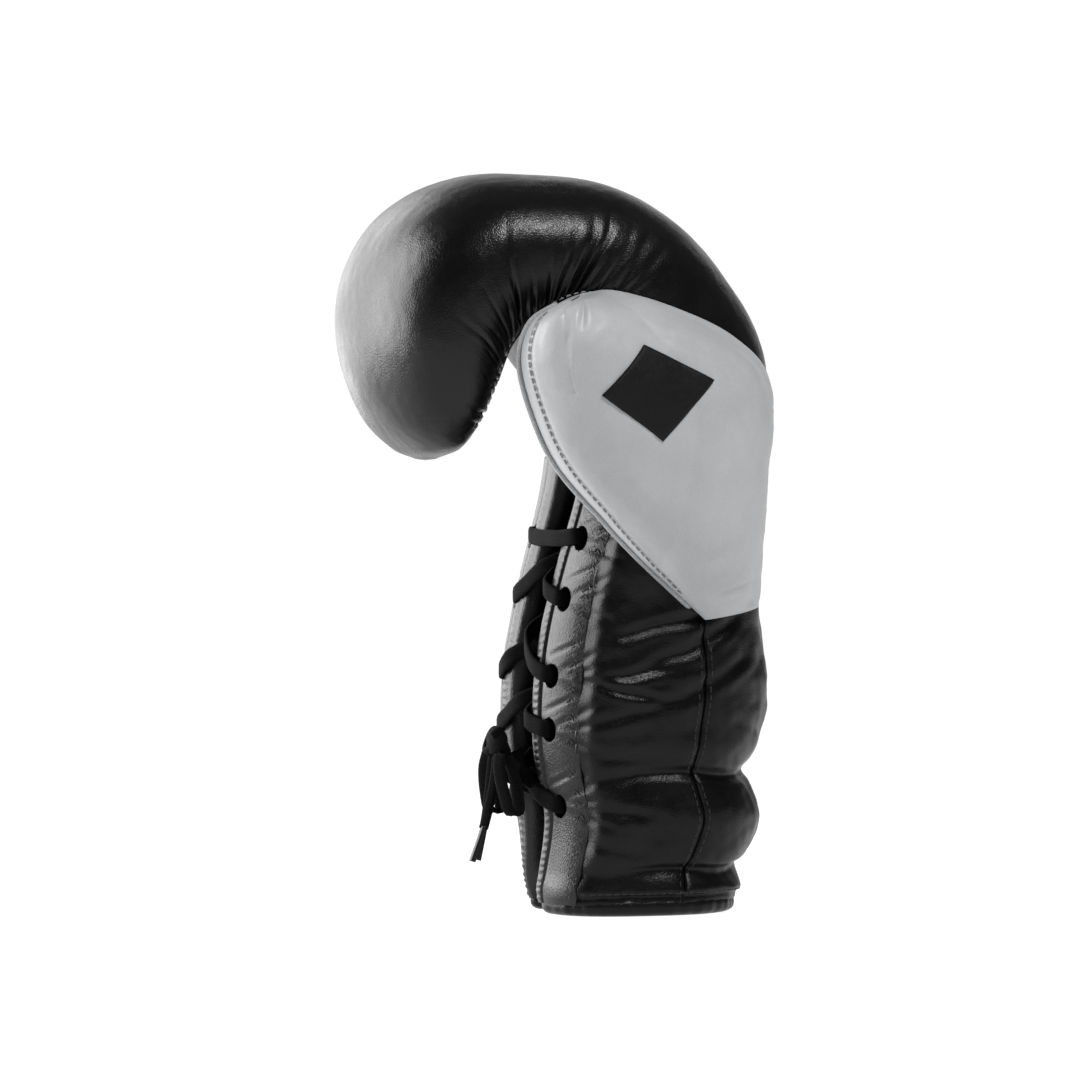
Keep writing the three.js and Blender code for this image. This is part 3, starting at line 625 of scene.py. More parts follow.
def cuff_surface(u, deg):
    u, deg = np.asarray(u, float), np.asarray(deg, float)
    p = wall(u, deg, 1.0)
    n = unit(p - wall(u, deg, 0.0))
    return p + n * (cuff_displacement(u, deg, p) + swell_cuff(p, n, deg))[..., None]


def hem_roll():
    deg = np.linspace(NEAR_EDGE, FAR_EDGE - 360, 200)
    rings = []
    a = np.linspace(0, 2 * math.pi, 18, endpoint=False)
    for k, d in enumerate(deg):
        outer0 = wall(0.42, d, 1.0)
        inner0 = wall(0.42, d, 0.02)
        middle = (outer0 + inner0) / 2
        half = (outer0 - inner0) / 2
        end = min(k, len(deg) - 1 - k)
        size = min(1.0, 0.72 + 0.28 * min(end, 3) / 3)
        fold = 1 + 0.035 * math.sin(k * 0.55) + 0.03 * math.sin(k * 1.31 + 1)
        ring = []
        for x in a:
            c, s = spow(math.cos(x), 0.75), spow(math.sin(x), 0.75)
            point = middle + half * c * size * fold
            point[2] = 4.4 + 4.35 * s * size
            ring.append(point)
        rings.append(ring)
    return loft("cuff_hem_roll", np.array(rings))


# ---------------------------------------------------------------- flaps
def flap_strip(name, d0, edge, sign):
    """A padded lacing facing: its section closes round the free edge."""
    u = np.linspace(0.52, 9.58, 300)[:, None]
    t = np.linspace(0, 1, 64)[None]
    d = d0 + (edge - d0) * t + 0 * u
    z = station_mm(u)
    puff = 0.35 * np.sin(u * 5.1) + 0.25 * np.sin(u * 8.7 + 1)
    lift = 1.035 - 0.05 * smooth(t, 0.93, 1.0) - 0.09 * bump(t - 0.78, 0.022)
    lift = lift + 0.012 * puff * np.sin(math.pi * t) + 0.03 * bump(t - 0.88, 0.07)
    outward = unit(wall(u, d, 1.1) - wall(u, d, 1.0))
    turned = np.where(d > 180, 360 - d, d)
    depth = fold_depth(z, turned) * (1 - smooth(t, 0.7, 0.8))
    ridges = 0.3 * np.sin(z * 2 * math.pi / 3.2) * bump(t - 0.89, 0.06)
    top = wall(u, d, lift) + outward * (ridges - depth)[..., None]
    a = math.pi * np.linspace(0, 1, 7)[None, 1:-1]
    rim = wall(u, edge + sign * 1.6 * np.sin(a), 0.57 + 0.36 * np.cos(a))
    under = wall(u, d0 + (edge - d0) * np.linspace(1, 0, 16)[None], 0.2)
    return loft(name, np.concatenate([top, rim, under], 1))


def station_of(z):
    us = np.arange(0, 12, 0.01)
    return float(np.interp(z, catmull(STATIONS, us)[:, 1], us))


def lacing(z, y, rho):
    u = station_of(z)
    share = min(abs(y) / catmull(STATIONS, u)[4], 1)
    angle = math.degrees(math.asin(share ** (PALM_EXPONENT / 2)))
    return wall(u, 180 + math.copysign(angle, y), rho)


middle_u = station_of(100)
NEAR = {"hole": wall(middle_u, NEAR_HOLE, 1)[1], "edge": wall(middle_u, NEAR_EDGE, 1)[1]}
FAR = {"hole": wall(middle_u, FAR_HOLE, 1)[1], "edge": wall(middle_u, FAR_EDGE, 1)[1]}
MIDDLE = (NEAR["edge"] + FAR["edge"]) / 2


def crossing(a, b, z0, z1, level):
    dz = z1 - z0
    sign = math.copysign(1, b["hole"] - a["hole"])
    return [
        lacing(z0, a["hole"], 0.5),
        lacing(z0 + dz * 0.03, a["hole"] + sign * 1.1, 0),
        lacing(z0 + dz * 0.1, (a["hole"] + a["edge"]) / 2, -0.1),
        lacing(z0 + dz * 0.22, a["edge"] + sign, -0.02),
        lacing(z0 + dz * 0.5, MIDDLE, level),
        lacing(z0 + dz * 0.8, b["edge"] - sign * 1.5, 1.14),
        lacing(z0 + dz * 0.93, (b["hole"] + b["edge"]) / 2, 1.17),
        lacing(z0 + dz * 0.98, b["hole"] - sign * 2, 1.1),
    ]


def knot_end(side, sign):
    z0 = LACE_HOLES[0]
    return [
        lacing(z0, side["hole"], 0.5),
        lacing(z0 + 1, side["hole"] + sign * 1.6, 0),
        lacing(z0 + 2, (side["hole"] + side["edge"]) / 2, -0.1),
        lacing(z0 + 4, side["edge"] + sign * 1.5, 0),
        lacing(z0 + 9, side["edge"] + sign * 5, 0.85),
        lacing(z0 + 14, MIDDLE - sign * 8.6, 1.36),
        lacing(KNOT_HEIGHT - 9, MIDDLE - sign * 6.8, 1.36),
        lacing(KNOT_HEIGHT - 4, MIDDLE - sign * 5.2, 1.38),
    ]


def lace_route():
    z0, z1, z2, z3, z4 = LACE_HOLES
    upper, lower = 0.95, 0.3
    route = knot_end(NEAR, 1)[::-1]
    for c in (crossing(FAR, NEAR, z1, z0, upper), crossing(NEAR, FAR, z2, z1, upper),
              crossing(FAR, NEAR, z3, z2, upper), crossing(NEAR, FAR, z4, z3, upper)):
        route += c[::-1]
    route += [lacing(z4 + 1, NEAR["hole"] + 1, 1.1), lacing(z4, NEAR["edge"], 1.15),
              lacing(z4, MIDDLE, 1.15), lacing(z4, FAR["edge"], 1.15),
              lacing(z4 + 1, FAR["hole"] - 1, 1.1)]
    for c in (crossing(FAR, NEAR, z4, z3, lower), crossing(NEAR, FAR, z3, z2, lower),
              crossing(FAR, NEAR, z2, z1, lower), crossing(NEAR, FAR, z1, z0, lower)):
        route += c
    return route + knot_end(FAR, -1)


# ---------------------------------------------------------------- free laces: they come first
LACE_WIDTH, LOOP_WIDTH, TAIL_WIDTH = 7.5, 5.6, 4.4
KNOT_HEIGHT = 77
CORD_THICK, FLAT_WAY = 2.4, (-0.7, 0.7, 0)
knot_centre = lacing(KNOT_HEIGHT, MIDDLE, 1.78)
LOOP = [(-1.5, 8.3, -5.2), (-2.5, 10, -12), (-1, 12.5, -23), (1.5, 13.5, -31), (5.4, 13, -31),
        (5.4, 11.5, -22), (4, 10, -13), (2, 8.6, -6.4)]


def tail_points(sign):
    sweep = 1 if sign < 0 else 0.55
    return [(-1, 2.8, -6.4), (-2, 2.8, -15), (-1.5 - 3 * sweep, 3.1, -27),
            (-1.5 - 6 * sweep, 3.4, -38), (-1.5 - 11.5 * sweep, 3.6, -53)]


def flat_lace(name, line, width, thick, axis, sides=12):
    return loft(name, ribbon_rings(line, width, thick, axis, sides))


bow = []
for label, sign in (("thumb_side", -1), ("little_finger_side", 1)):
    flip = np.array([1, sign, 1])
    line = resample(np.array(LOOP) * flip + knot_centre, 1.5)
    loop = flat_lace("bow_loop_" + label, line, LOOP_WIDTH, CORD_THICK, FLAT_WAY)
    whole = resample(np.array(tail_points(sign)) * flip + knot_centre, 0.5)
    cut = int(len(whole) * 0.7)
    tail_line = whole[:cut:3]
    tail = flat_lace("bow_tail_" + label, tail_line, TAIL_WIDTH, CORD_THICK, FLAT_WAY)
    tip = flat_lace("bow_tip_" + label, whole[cut - 4:], 3.6, 2.6, (0, 1, 0), 16)
    bow.append((loop, tail, tip))
    for obj, kind in ((loop, "loop"), (tail, "tail"), (tip, "tip")):
        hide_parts("lace_" + kind + "_" + label)
        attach(obj, "glove")


# ---------------------------------------------------------------- thumb
def thumb_point(s, t, rho):
    """A point of the thumb. rho 0 is next to the hand and 1 is outside. Mm."""
    s, t, rho = np.broadcast_arrays(*(np.asarray(v, float) for v in (s, t, rho)))
    row = catmull(THUMB, np.minimum(s, 7))
    a, b, high = row[..., 0:2], row[..., 2:4], row[..., 4]
    k = np.sqrt(np.clip(1 - (np.clip(s - 6.45, 0, None) / 0.78) ** 2, 0, 1))
    mid = a * 0.45 + b * 0.55
    a, b, high = mid + (a - mid) * k[..., None], mid + (b - mid) * k[..., None], high * k
    slide = np.clip(s - 7, 0, None)[..., None] * np.array([11.0, 4.0])
    xz = a + (b - a) * t[..., None] + slide
    side = side_at(xz[..., 0], xz[..., 1])
    clear = (58 + 2 * s) * (1 - 0.6 * t * t)
    # the panel's back edge and root lie down on the hand, its palm side and tip stand off
    stand = (1 - smooth(t, 0.62, 1.0)) * smooth(s, 0.2, 2.2)
    inner = np.maximum(side + 0.3 + 3.1 * stand, clear * stand)
    profile = 1.9 * np.clip(t, 0.0, 1) ** 0.42 * np.clip(1 - t, 0.0, 1) ** 0.85
    bulge = profile * high
    y = -(inner + 0.3 + 1.3 * (1 - stand) + bulge * rho + (rho - 0.5) * 1.3 * stand)
    return np.stack([xz[..., 0], y, xz[..., 1]], -1)


def thumb_outer(s, t):
    return thumb_point(s, t, 1.0)


THUMB_STEP = 22  # mm of a step of s, and a quarter of the panel's width
THUMB_FOLDS = [  # s, t, s, t, depth and width of each fold
    (5.3, 0.3, 6.4, 0.55, 0.8, 2.2), (4.8, 0.12, 5.8, 0.3, 0.6, 2.0), (1.1, 0.12, 1.3, 0.6, 0.7, 2.4),
    (0.5, 0.2, 0.6, 0.9, 0.8, 2.2), (3.2, 0.9, 4.6, 0.72, 0.4, 3.0),
]


def thumb_shell():
    """The thumb's leather, closed behind where it lies next to the hand."""
    ss = np.concatenate([np.linspace(0, 6.4, 120), np.linspace(6.42, 7.22, 26)])
    f = np.linspace(0, 1, 150)
    ts = (1 - np.cos(np.pi * f)) / 2
    grid_s, grid_t = np.meshgrid(ss, ts, indexing="ij")
    out = thumb_point(grid_s, grid_t, 1.0)
    normal = normals_of(out)
    normal *= np.sign(-normal[..., 1].mean())
    d = (0.45 * waves(out, 55, 9, 21) + 0.2 * waves(out, 21, 12, 22) + 0.06 * waves(out, 7, 12, 23))
    scale = np.array([THUMB_STEP, 4 * THUMB_STEP])
    folds = [(*(np.array(fold[:4]) * np.tile(scale, 2)), *fold[4:]) for fold in THUMB_FOLDS]
    d -= line_folds(np.stack([grid_s, grid_t], -1) * scale, folds, 0.7)
    seams = [out[:, 0], out[:, -1], out[0], out[-1]]
    coarse = (out - normal * SKIN_SLACK)[::4, ::5], thumb_point(grid_s, grid_t, 0.0)[::4, ::-5]
    d += inflate("thumb_skin", np.concatenate(coarse, 1), np.concatenate(seams), 0.4)(out, normal)
    edge = smooth(grid_t, 0, 0.05) * (1 - smooth(grid_t, 0.95, 1)) * smooth(grid_s, 0, 0.2)
    edge *= 1 - smooth(grid_s, 6.9, 7.2)
    stitched = smooth(grid_s, 0.5, 1.2) * (1 - smooth(grid_s, 6.3, 6.9))
    d -= bump((grid_t - 0.012) * 80, 0.5) * stitched / np.maximum(edge, 0.3)
    out = out + normal * (d * edge)[..., None]
    inner = thumb_point(grid_s, grid_t, 0.0)
    inner_ring = inner[:, ::-1][:, 1:-1]
    rings = np.concatenate([out, inner_ring], 1)
    return loft("thumb_leather", rings)


# ---------------------------------------------------------------- materials
def nodes_of(name):
    m = bpy.data.materials.new(name)
    m.use_nodes = True
    nt = m.node_tree
    return m, nt, nt.nodes["Principled BSDF"]


def put(nt, kind, **values):
    """A new shader node with its constants: an underscore in a socket's name stands for a space."""
    made = nt.nodes.new("ShaderNode" + kind)
    for key, value in values.items():
        made.inputs[key.replace("_", " ")].default_value = value
    return made


def noise(nt, coord, **values):
    made = put(nt, "TexNoise", **values)
    nt.links.new(coord, made.inputs["Vector"])
    return made.outputs


def relief(nt, height, strength, distance, below=None):
    """A bump node over the height, on top of the bump node below."""
    made = put(nt, "Bump", Strength=strength, Distance=distance)
    nt.links.new(height, made.inputs["Height"])
    if below:
        nt.links.new(below.outputs["Normal"], made.inputs["Normal"])
    return made


def two_colors(nt, value, first, second, stops=(0, 1)):
    ramp = put(nt, "ValToRGB")
    for element, color, stop in zip(ramp.color_ramp.elements, (first, second), stops):
        element.position, element.color = stop, (*color, 1)
    nt.links.new(value, ramp.inputs["Fac"])
    return ramp.outputs["Color"]


def leather(name, color, rough, grain=0.5, vary=0.25, coat=0.0, specular=0.5, scale=820, wear=None,
            shading=0.35):
    """Pebbled leather: cells and fine noise make the grain, broad noise the colour and the gloss."""
    m, nt, bsdf = nodes_of(name)
    link = nt.links.new
    coord = put(nt, "TexCoord").outputs["Object"]
    warped = put(nt, "MixRGB", Fac=0.0022)
    link(coord, warped.inputs["Color1"])
    link(noise(nt, coord, Scale=300, Detail=3)["Color"], warped.inputs["Color2"])
    cells = put(nt, "TexVoronoi", Scale=scale, Randomness=0.95)
    cells.feature = "DISTANCE_TO_EDGE"
    link(warped.outputs["Color"], cells.inputs["Vector"])
    pebble = put(nt, "MapRange", From_Max=0.35)
    link(cells.outputs["Distance"], pebble.inputs["Value"])
    broad = noise(nt, coord, Scale=38, Detail=6, Roughness=0.62)["Fac"]
    pebbled = relief(nt, pebble.outputs["Result"], grain, 0.00018)
    fine = relief(nt, noise(nt, coord, Scale=2600, Detail=5)["Fac"], grain * 0.6, 0.00006, pebbled)
    soft = relief(nt, noise(nt, coord, Scale=95, Detail=4)["Fac"], 0.16, 0.0008, fine)
    link(soft.outputs["Normal"], bsdf.inputs["Normal"])
    # the base colour is multiplied by the pebble map, by the shading amount, so it is darker in the grooves
    # between the pebbles: painted shade
    shade = put(nt, "MixRGB", Fac=shading)
    shade.blend_type = "MULTIPLY"
    link(two_colors(nt, broad, [c * (1 - vary) for c in color], [min(1, c * (1 + vary)) for c in color],
                    (0.32, 0.68)), shade.inputs["Color1"])
    link(pebble.outputs["Result"], shade.inputs["Color2"])
    last = shade.outputs["Color"]
    if wear:
        edge = put(nt, "MapRange", From_Min=0.52, From_Max=0.62)
        link(put(nt, "NewGeometry").outputs["Pointiness"], edge.inputs["Value"])
        patch = put(nt, "Math")
        patch.operation = "MULTIPLY"
        link(edge.outputs["Result"], patch.inputs[0])
        link(broad, patch.inputs[1])
        worn = put(nt, "MixRGB", Color2=(*wear, 1))
        link(patch.outputs["Value"], worn.inputs["Fac"])
        link(last, worn.inputs["Color1"])
        last = worn.outputs["Color"]
    link(last, bsdf.inputs["Base Color"])
    gloss = put(nt, "MapRange", From_Min=0.3, From_Max=0.7, To_Min=rough - 0.05, To_Max=rough + 0.07)
    link(broad, gloss.inputs["Value"])
    link(gloss.outputs["Result"], bsdf.inputs["Roughness"])
    bsdf.inputs["Specular IOR Level"].default_value = specular
    bsdf.inputs["Coat Weight"].default_value = coat
    bsdf.inputs["Coat Roughness"].default_value = 0.3
    return m


def woven(name, color, scale, rough, strength, sheen=0.2):
    """Woven cloth or thread: two crossed sets of waves."""
    m, nt, bsdf = nodes_of(name)
    link = nt.links.new
    coord = put(nt, "TexCoord").outputs["Object"]
    weave = put(nt, "MixRGB", Fac=0.8)
    weave.blend_type = "MULTIPLY"
    for way, socket in (("Z", "Color1"), ("DIAGONAL", "Color2")):
        threads = put(nt, "TexWave", Scale=scale, Distortion=0.6)
        threads.bands_direction = way
        link(coord, threads.inputs["Vector"])
        link(threads.outputs["Color"], weave.inputs[socket])
    mix = put(nt, "MixRGB", Fac=0.5)
    link(weave.outputs["Color"], mix.inputs["Color1"])
    link(noise(nt, coord, Scale=60, Detail=5)["Fac"], mix.inputs["Color2"])
    link(two_colors(nt, mix.outputs["Color"], [c * 0.55 for c in color], [min(1, c * 1.5) for c in color]),
         bsdf.inputs["Base Color"])
    link(relief(nt, weave.outputs["Color"], strength, 0.00025).outputs["Normal"], bsdf.inputs["Normal"])
    bsdf.inputs["Roughness"].default_value = rough
    bsdf.inputs["Sheen Weight"].default_value = sheen
    bsdf.inputs["Sheen Roughness"].default_value = 0.5
    bsdf.inputs["Specular IOR Level"].default_value = 0.06
    return m


BLACK = leather("black_leather", (0.0018, 0.0019, 0.0021), 0.3, 0.3, 0.3, specular=0.28,
                wear=(0.008, 0.0083, 0.009))
CUFF_BLACK = leather("cuff_leather", (0.0014, 0.0015, 0.0017), 0.33, 0.35, 0.3, specular=0.18,
                     wear=(0.008, 0.0083, 0.009))
FACING_MAT = leather("facing_leather", (0.003, 0.0031, 0.0034), 0.34, 0.4, 0.3, specular=0.36,
                     wear=(0.012, 0.0123, 0.013))
GREY = leather("grey_leather", (0.4, 0.405, 0.413), 0.4, 0.14, 0.05, specular=0.38,
               wear=(0.5, 0.505, 0.515), shading=0.08)
PIPING = leather("piping_leather", (0.36, 0.365, 0.375), 0.45, 0.3, 0.08)
BADGE = leather("badge_leather", (0.005, 0.0051, 0.0055), 0.5, 0.5, 0.2, specular=0.16, scale=1100)
LACE = woven("lace_weave", (0.0016, 0.0016, 0.0018), 520, 0.8, 0.8, 0.01)
LINING = woven("lining_weave", (0.012, 0.012, 0.014), 420, 0.9, 0.6, 0.4)
THREAD = woven("dark_thread", (0.03, 0.03, 0.032), 900, 0.6, 0.6)
PALE_THREAD = woven("pale_thread", (0.30, 0.30, 0.31), 900, 0.6, 0.6)
TIP = leather("tip_film", (0.003, 0.003, 0.0033), 0.35, 0.1, 0.2, specular=0.3, scale=1500)


def dress(obj, mat, body, slot_name, *nodes, pad=None):
    obj.data.materials.clear()
    obj.data.materials.append(mat)
    if nodes:
        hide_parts(*nodes)
    if body:
        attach(obj, body)
    return obj


for pieces in bow:
    for obj, mat in zip(pieces, (LACE, LACE, TIP)):
        obj.data.materials.append(mat)

# ---------------------------------------------------------------- build
fist_leather = hand_and_fist()
dress(fist_leather, BLACK, None, "black_leather",
      "hand_leather_back", "hand_leather_little_finger_side", "hand_leather_thumb_side", "palm_leather",
      "fist_leather_outer", "finger_leather_inner", "fingertip_leather",
      "back_pad_outer", "back_pad_inner", "side_pad_little_finger", "side_pad_thumb", "palm_heel_pad",
      "palm_pad", "grip_bar", "knuckle_pad_outer", "knuckle_pad_middle", "knuckle_pad_inner",
      "finger_pad_inner", "fingertip_pad", pad=0.9)
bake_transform(fist_leather)

swell_cuff = cuff_swelling()
dress(cuff_panel("cuff_back_leather", -79.6, 79.6, 130), CUFF_BLACK, "glove", "black_leather",
      "cuff_leather_back", "wrist_roll_lower", "wrist_roll_middle", "wrist_roll_upper", pad=0.8)
dress(cuff_panel("cuff_thumb_side_leather", 80.2, FACING, 60), CUFF_BLACK, "glove", "black_leather",
      "cuff_leather_thumb_flap", "wrist_pad_thumb_flap", pad=0.8)
dress(cuff_panel("cuff_little_finger_side_leather", -FACING, -80.2, 60), CUFF_BLACK, "glove", "black_leather",
      "cuff_leather_little_finger_flap", "wrist_pad_little_finger_flap", pad=0.8)
dress(hem_roll(), CUFF_BLACK, "glove", "black_leather", "hem_roll_back", "hem_roll_thumb_side",
      "hem_roll_little_finger_side", pad=0.9)


def punched(obj, angle):
    bpy.context.view_layer.update()
    verts, faces = [], []
    for z in LACE_HOLES:
        u = station_of(z)
        a, b = wall(u, angle, -0.5), wall(u, angle, 1.8)
        axis = (b - a) / np.linalg.norm(b - a)
        side = np.cross(axis, (0, 0, 1))
        side /= np.linalg.norm(side)
        tall = np.cross(side, axis)
        base = len(verts)
        k = 24
        for end in (a, b):
            for j in range(k):
                x = j * 2 * math.pi / k
                verts.append(end + side * math.cos(x) * 4.3 + tall * math.sin(x) * 5.4)
        faces += [tuple(base + v for v in quad) for quad in tube_quads(2, k)]
        faces.append(tuple(base + j for j in range(k))[::-1])
        faces.append(tuple(base + k + j for j in range(k)))
    tool = fix_normals(new_object("punch", np.array(verts), faces))
    modifier = obj.modifiers.new("holes", "BOOLEAN")
    modifier.operation = "DIFFERENCE"
    modifier.solver = "EXACT"
    modifier.object = tool
    with bpy.context.temp_override(object=obj, active_object=obj, selected_objects=[obj]):
        bpy.ops.object.modifier_apply(modifier=modifier.name)
    bpy.data.objects.remove(tool)
    return obj


near_facing = punched(flap_strip("facing_thumb_side", FACING - 2.5, NEAR_EDGE, 1), NEAR_HOLE)
dress(near_facing, FACING_MAT, "glove", "facing_leather", "facing_thumb_flap", "flap_pad_thumb_side",
      pad=0.6)
far_facing = punched(flap_strip("facing_little_finger_side", 360 - FACING + 2.5, FAR_EDGE, -1), FAR_HOLE)
dress(far_facing, FACING_MAT, "glove", "facing_leather", "facing_little_finger_flap",
      "flap_pad_little_finger_side", pad=0.6)

lace_line = resample(lace_route(), 1.1)
threaded = flat_lace("lace_through_holes", lace_line, LACE_WIDTH, CORD_THICK, (0, 0, 1))
dress(threaded, LACE, "glove", "lace", "lace_threaded")


def knot_mesh():
    """The lace wound round the bow."""
    t = np.linspace(0, 2 * math.pi, 90, endpoint=False)
    line = np.stack([2.6 * np.sin(2 * t) * 0.8, 6.6 * np.cos(t) + 1.5 * np.cos(2 * t),
                     4.8 * np.sin(t) + 1.9 * np.sin(3 * t)], -1) + knot_centre
    tan = unit(np.roll(line, -1, 0) - np.roll(line, 1, 0))
    out = line - knot_centre
    out = unit(out - tan * (out * tan).sum(1, keepdims=True))
    a = (np.arange(12) + 0.5) * 2 * math.pi / 12
    w, h = spow(np.cos(a), 0.6) * 3.0, spow(np.sin(a), 0.8) * 1.7
    return loft("bow_knot", sweep(line, np.cross(tan, out), out, w, h), closed=True)


def knot_core():
    n, m = 18, 28
    th = np.linspace(0.02, math.pi - 0.02, n)[:, None]
    ph = np.linspace(0, 2 * math.pi, m, endpoint=False)[None]
    wob = 1 + 0.08 * np.sin(3 * ph + 2 * th) + 0.05 * np.cos(5 * ph - th)
    p = np.stack([4.4 * np.sin(th) * np.cos(ph) * wob, 8.6 * np.cos(th) + 0 * ph,
                  6.4 * np.sin(th) * np.sin(ph) * wob], -1) + knot_centre
    return loft("bow_knot_core", p)


dress(knot_mesh(), LACE, "glove", "lace", "lace_knot")
dress(knot_core(), LACE, "glove", "lace")

# lining: one sleeve from the hem to the fingertips
def lining_sleeve():
    us = np.linspace(0.3, 8.9, 60)
    deg = np.linspace(FAR_EDGE - 360 + 1, NEAR_EDGE - 1, 90)
    U, D = np.meshgrid(us, deg, indexing="ij")
    a, b = wall(U, D, 0.1), wall(U, D, 0.01)
    cuff = slab("cuff_lining_cloth", a, b)
    us = np.linspace(8.9, 19.7, 90)
    deg = np.linspace(0, 360, 72, endpoint=False)
    U, D = np.meshgrid(us, deg, indexing="ij")
    a, b = wall(U, D, 0.07), wall(U, D, 0.01)
    p = np.concatenate([a, b[::-1], a[:1]])
    inner = loft("hand_lining_cloth", p, caps=False)
    return cuff, inner


cuff_cloth, hand_cloth = lining_sleeve()
dress(cuff_cloth, LINING, "glove", "lining", "cuff_lining")
dress(hand_cloth, LINING, None, "lining", "hand_lining", "finger_lining")
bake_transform(hand_cloth)

# thumb
thumb_leather = dress(thumb_shell(), GREY, None, "grey_leather", "thumb_leather_outer",
                      "thumb_leather_inner", "thumb_pad_outer", "thumb_pad_inner", "thumb_pad_palm_edge",
                      "thumb_pad_back_edge", pad=0.9)
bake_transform(thumb_leather)

edge_points = []
for s in np.linspace(0.35, 6.9, 30):
    p = thumb_point(s, 0.0, 0.5)
    q = thumb_point(s, 0.08, 0.5)
    edge_points.append(p + unit((p - q) * np.array([1, 0, 1])) * 0.7)
piping = dress(tube("thumb_edge_piping", edge_points, 1.25), PIPING, None, "trim", "thumb_piping")
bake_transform(piping)

rows = stitch_row(thumb_outer, [(s, 0.0115) for s in np.linspace(0.7, 6.6, 24)], 3.6, 2.7, 0.5)
thumb_stitch = dress(stitches("thumb_stitching", rows), PALE_THREAD, None, "trim")
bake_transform(thumb_stitch)

# plain lozenge badge
def badge_piece():
    n = 30
    a, b = np.meshgrid(np.linspace(-1, 1, n), np.linspace(-1, 1, n), indexing="ij")
    s = 3.75 + 0.5 * a + 0.3 * b
    t = 0.46 + 0.17 * b - 0.06 * a
    base = thumb_point(s, t, 1.0)
    edge = np.minimum(1 - np.abs(a), 1 - np.abs(b))
    lift = 1.1 + 0.45 * smooth(edge, 0, 0.08)
    outer = base + np.array([0, -1.0, 0]) * lift[..., None]
    return slab("thumb_badge_patch", outer, base + np.array([0, 0.8, 0]))


badge = dress(badge_piece(), BADGE, None, "trim", "thumb_badge")
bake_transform(badge)


# gathered seam: welt and stitches
for label, sign in (("thumb_side", 1), ("little_finger_side", -1)):
    us = np.linspace(12.6, 18.5, 40)
    pts = [wall(u, sign * gather_angle(u), 1.0) for u in us]
    pts = [p - 0.9 * unit(p - wall(u, sign * gather_angle(u), 0.9)) for p, u in zip(pts, us)]
    welt = dress(tube("gather_binding_" + label, pts, 1.7), BLACK, None, "black_leather",
                 "gather_welt_" + label)
    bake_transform(welt)
    rows = stitch_row(wall_outer, [(u, sign * (gather_angle(u) - 5)) for u in us], 3.4, 2.3, 0.45)
    row = dress(stitches("gather_stitching_" + label, rows), PALE_THREAD, None, "trim")
    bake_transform(row)

# cuff stitching: lines of (station, angle)
across, along = np.linspace(-133, 133, 60), np.linspace(0.8, 8.6, 24)
seam_lines = []
for side in (-1, 1):
    seam_lines += [([(u, side * 80 + off) for u in np.linspace(0.95, 7.1, 24)], 0.33) for off in (-2.6, 2.6)]
    seam_lines.append(([(u, side * 133.0) for u in np.linspace(0.9, 8.6, 24)], 0.35))
seam_lines.append(([(1.02, d) for d in across], 0.35))
seam_lines.append(([(cuff_top(d) - 0.14, d) for d in np.linspace(-128, 128, 60)], 0.35))
seam_rows = [seat for line, radius in seam_lines for seat in stitch_row(cuff_surface, line, 3.6, 2.6, radius)]
dress(stitches("cuff_stitching", seam_rows), THREAD, "glove", "trim")
ladder = []
for sign, base, edge in ((1, FACING + 2.2, NEAR_EDGE - 4.2), (-1, 360 - FACING - 2.2, FAR_EDGE + 4.2)):
    for off, slant in ((0, 0.9), (sign * 2.6, -0.9)):
        ladder += stitch_row(lambda a, b: wall(a, b, 1.035), [(u, base + off) for u in along], 2.6, 2.6, 0.42,
                             slant=slant)
    ladder += stitch_row(wall_outer, [(u, edge) for u in along], 3.0, 2.2, 0.4)
dress(stitches("facing_stitching", ladder), THREAD, "glove", "trim")

# thumb lock
start, end = wall(12.2, 128, 1.04), thumb_point(4.9, 0.03, 0.0)
mid = (start + end) / 2 + np.array([0, -1, -2])
strap = flat_lace("thumb_lock_strap", resample([start, mid, end], 0.8), 9, 1.5, (0, 0, 1), 14)
dress(strap, GREY, "glove", "grey_leather", "thumb_lock")

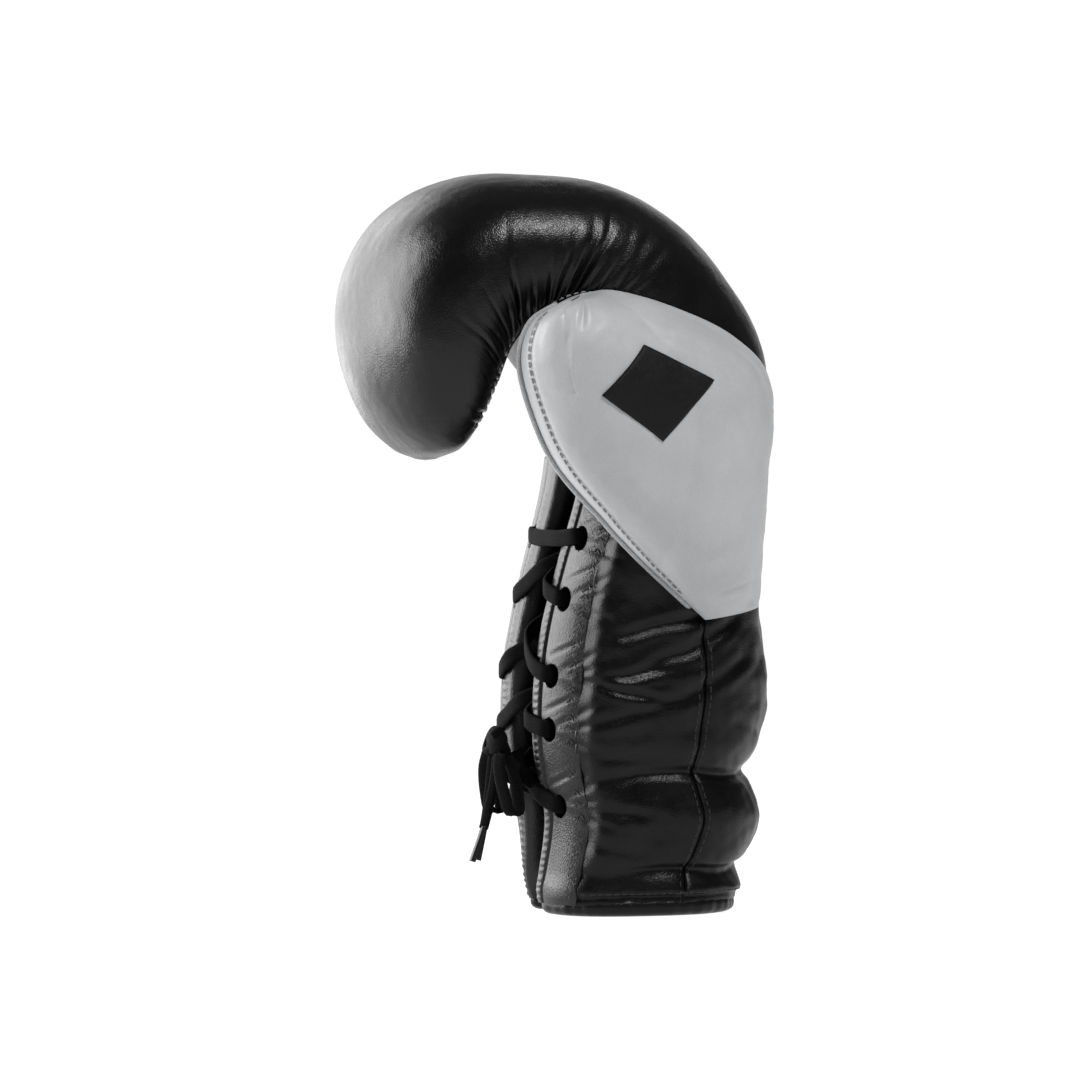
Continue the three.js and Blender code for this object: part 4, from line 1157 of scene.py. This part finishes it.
# ---------------------------------------------------------------- floor and light
def stage_mesh():
    """A floor that curves up into a backdrop, lit a little from within toward the back."""
    front, rear, wide, high, r = 2.6, 4.0, 5.0, 3.0, 0.8
    turns = [k / 12 * math.pi / 2 for k in range(13)]
    profile = [(-front, 0.0), (-front / 2, 0.0), (0.0, 0.0)]
    profile += [(rear + r * math.sin(a), r - r * math.cos(a)) for a in turns]
    profile.append((rear + r, high))
    verts = [(x, y, z) for y, z in profile for x in (-wide, wide)]
    faces = [(2 * i, 2 * i + 1, 2 * i + 3, 2 * i + 2) for i in range(len(profile) - 1)]
    mesh = bpy.data.meshes.new("floor")
    mesh.from_pydata(verts, [], faces)
    mesh.polygons.foreach_set("use_smooth", [True] * len(faces))
    m, nt, bsdf = nodes_of("floor_paper")
    spots = put(nt, "TexNoise", Scale=3).outputs["Fac"]
    nt.links.new(two_colors(nt, spots, [0.16] * 3, [0.19] * 3), bsdf.inputs["Base Color"])
    bsdf.inputs["Roughness"].default_value = 0.9
    bsdf.inputs["Emission Color"].default_value = (1, 1, 1, 1)
    split = put(nt, "SeparateXYZ")
    nt.links.new(put(nt, "TexCoord").outputs["Object"], split.inputs["Vector"])
    glow = put(nt, "MapRange", From_Min=-2.3, From_Max=-0.85, To_Min=0.2, To_Max=0.94)
    nt.links.new(split.outputs["Y"], glow.inputs["Value"])
    nt.links.new(glow.outputs["Result"], bsdf.inputs["Emission Strength"])
    mesh.materials.append(m)
    return linked("floor", mesh)


floor = stage_mesh()


def softbox(name, direction, distance, size, power, target=(0, 0, 0.17)):
    data = bpy.data.lights.new(name, "AREA")
    data.shape = "RECTANGLE"
    data.size, data.size_y = size
    data.energy = power
    obj = linked(name, data)
    d = direction.normalized()
    obj.location = Vector(target) + d * distance
    turned_to(obj, -d)


left = -right
for name, angle, width, radiance in (("side_box", 97, 1.05, 10.6), ("side_box_rear", 140, 1.0, 2.3)):
    a = math.radians(angle)
    toward = back * math.cos(a) + left * math.sin(a)
    softbox(name, toward, 1.25, (width, 2.0), radiance * math.pi * width * 2.0, target=(0, 0, 0.3))
softbox("front_box", Vector((0, 0, 0.8)) + back * 0.5 - left * 0.4, 1.5, (0.38, 0.38), 19)
world = bpy.data.worlds.new("studio")
bpy.context.scene.world = world
world.use_nodes = True
world.node_tree.nodes["Background"].inputs["Color"].default_value = (1, 1, 1, 1)
world.node_tree.nodes["Background"].inputs["Strength"].default_value = 0.11
bpy.context.scene.view_settings.view_transform = "Standard"
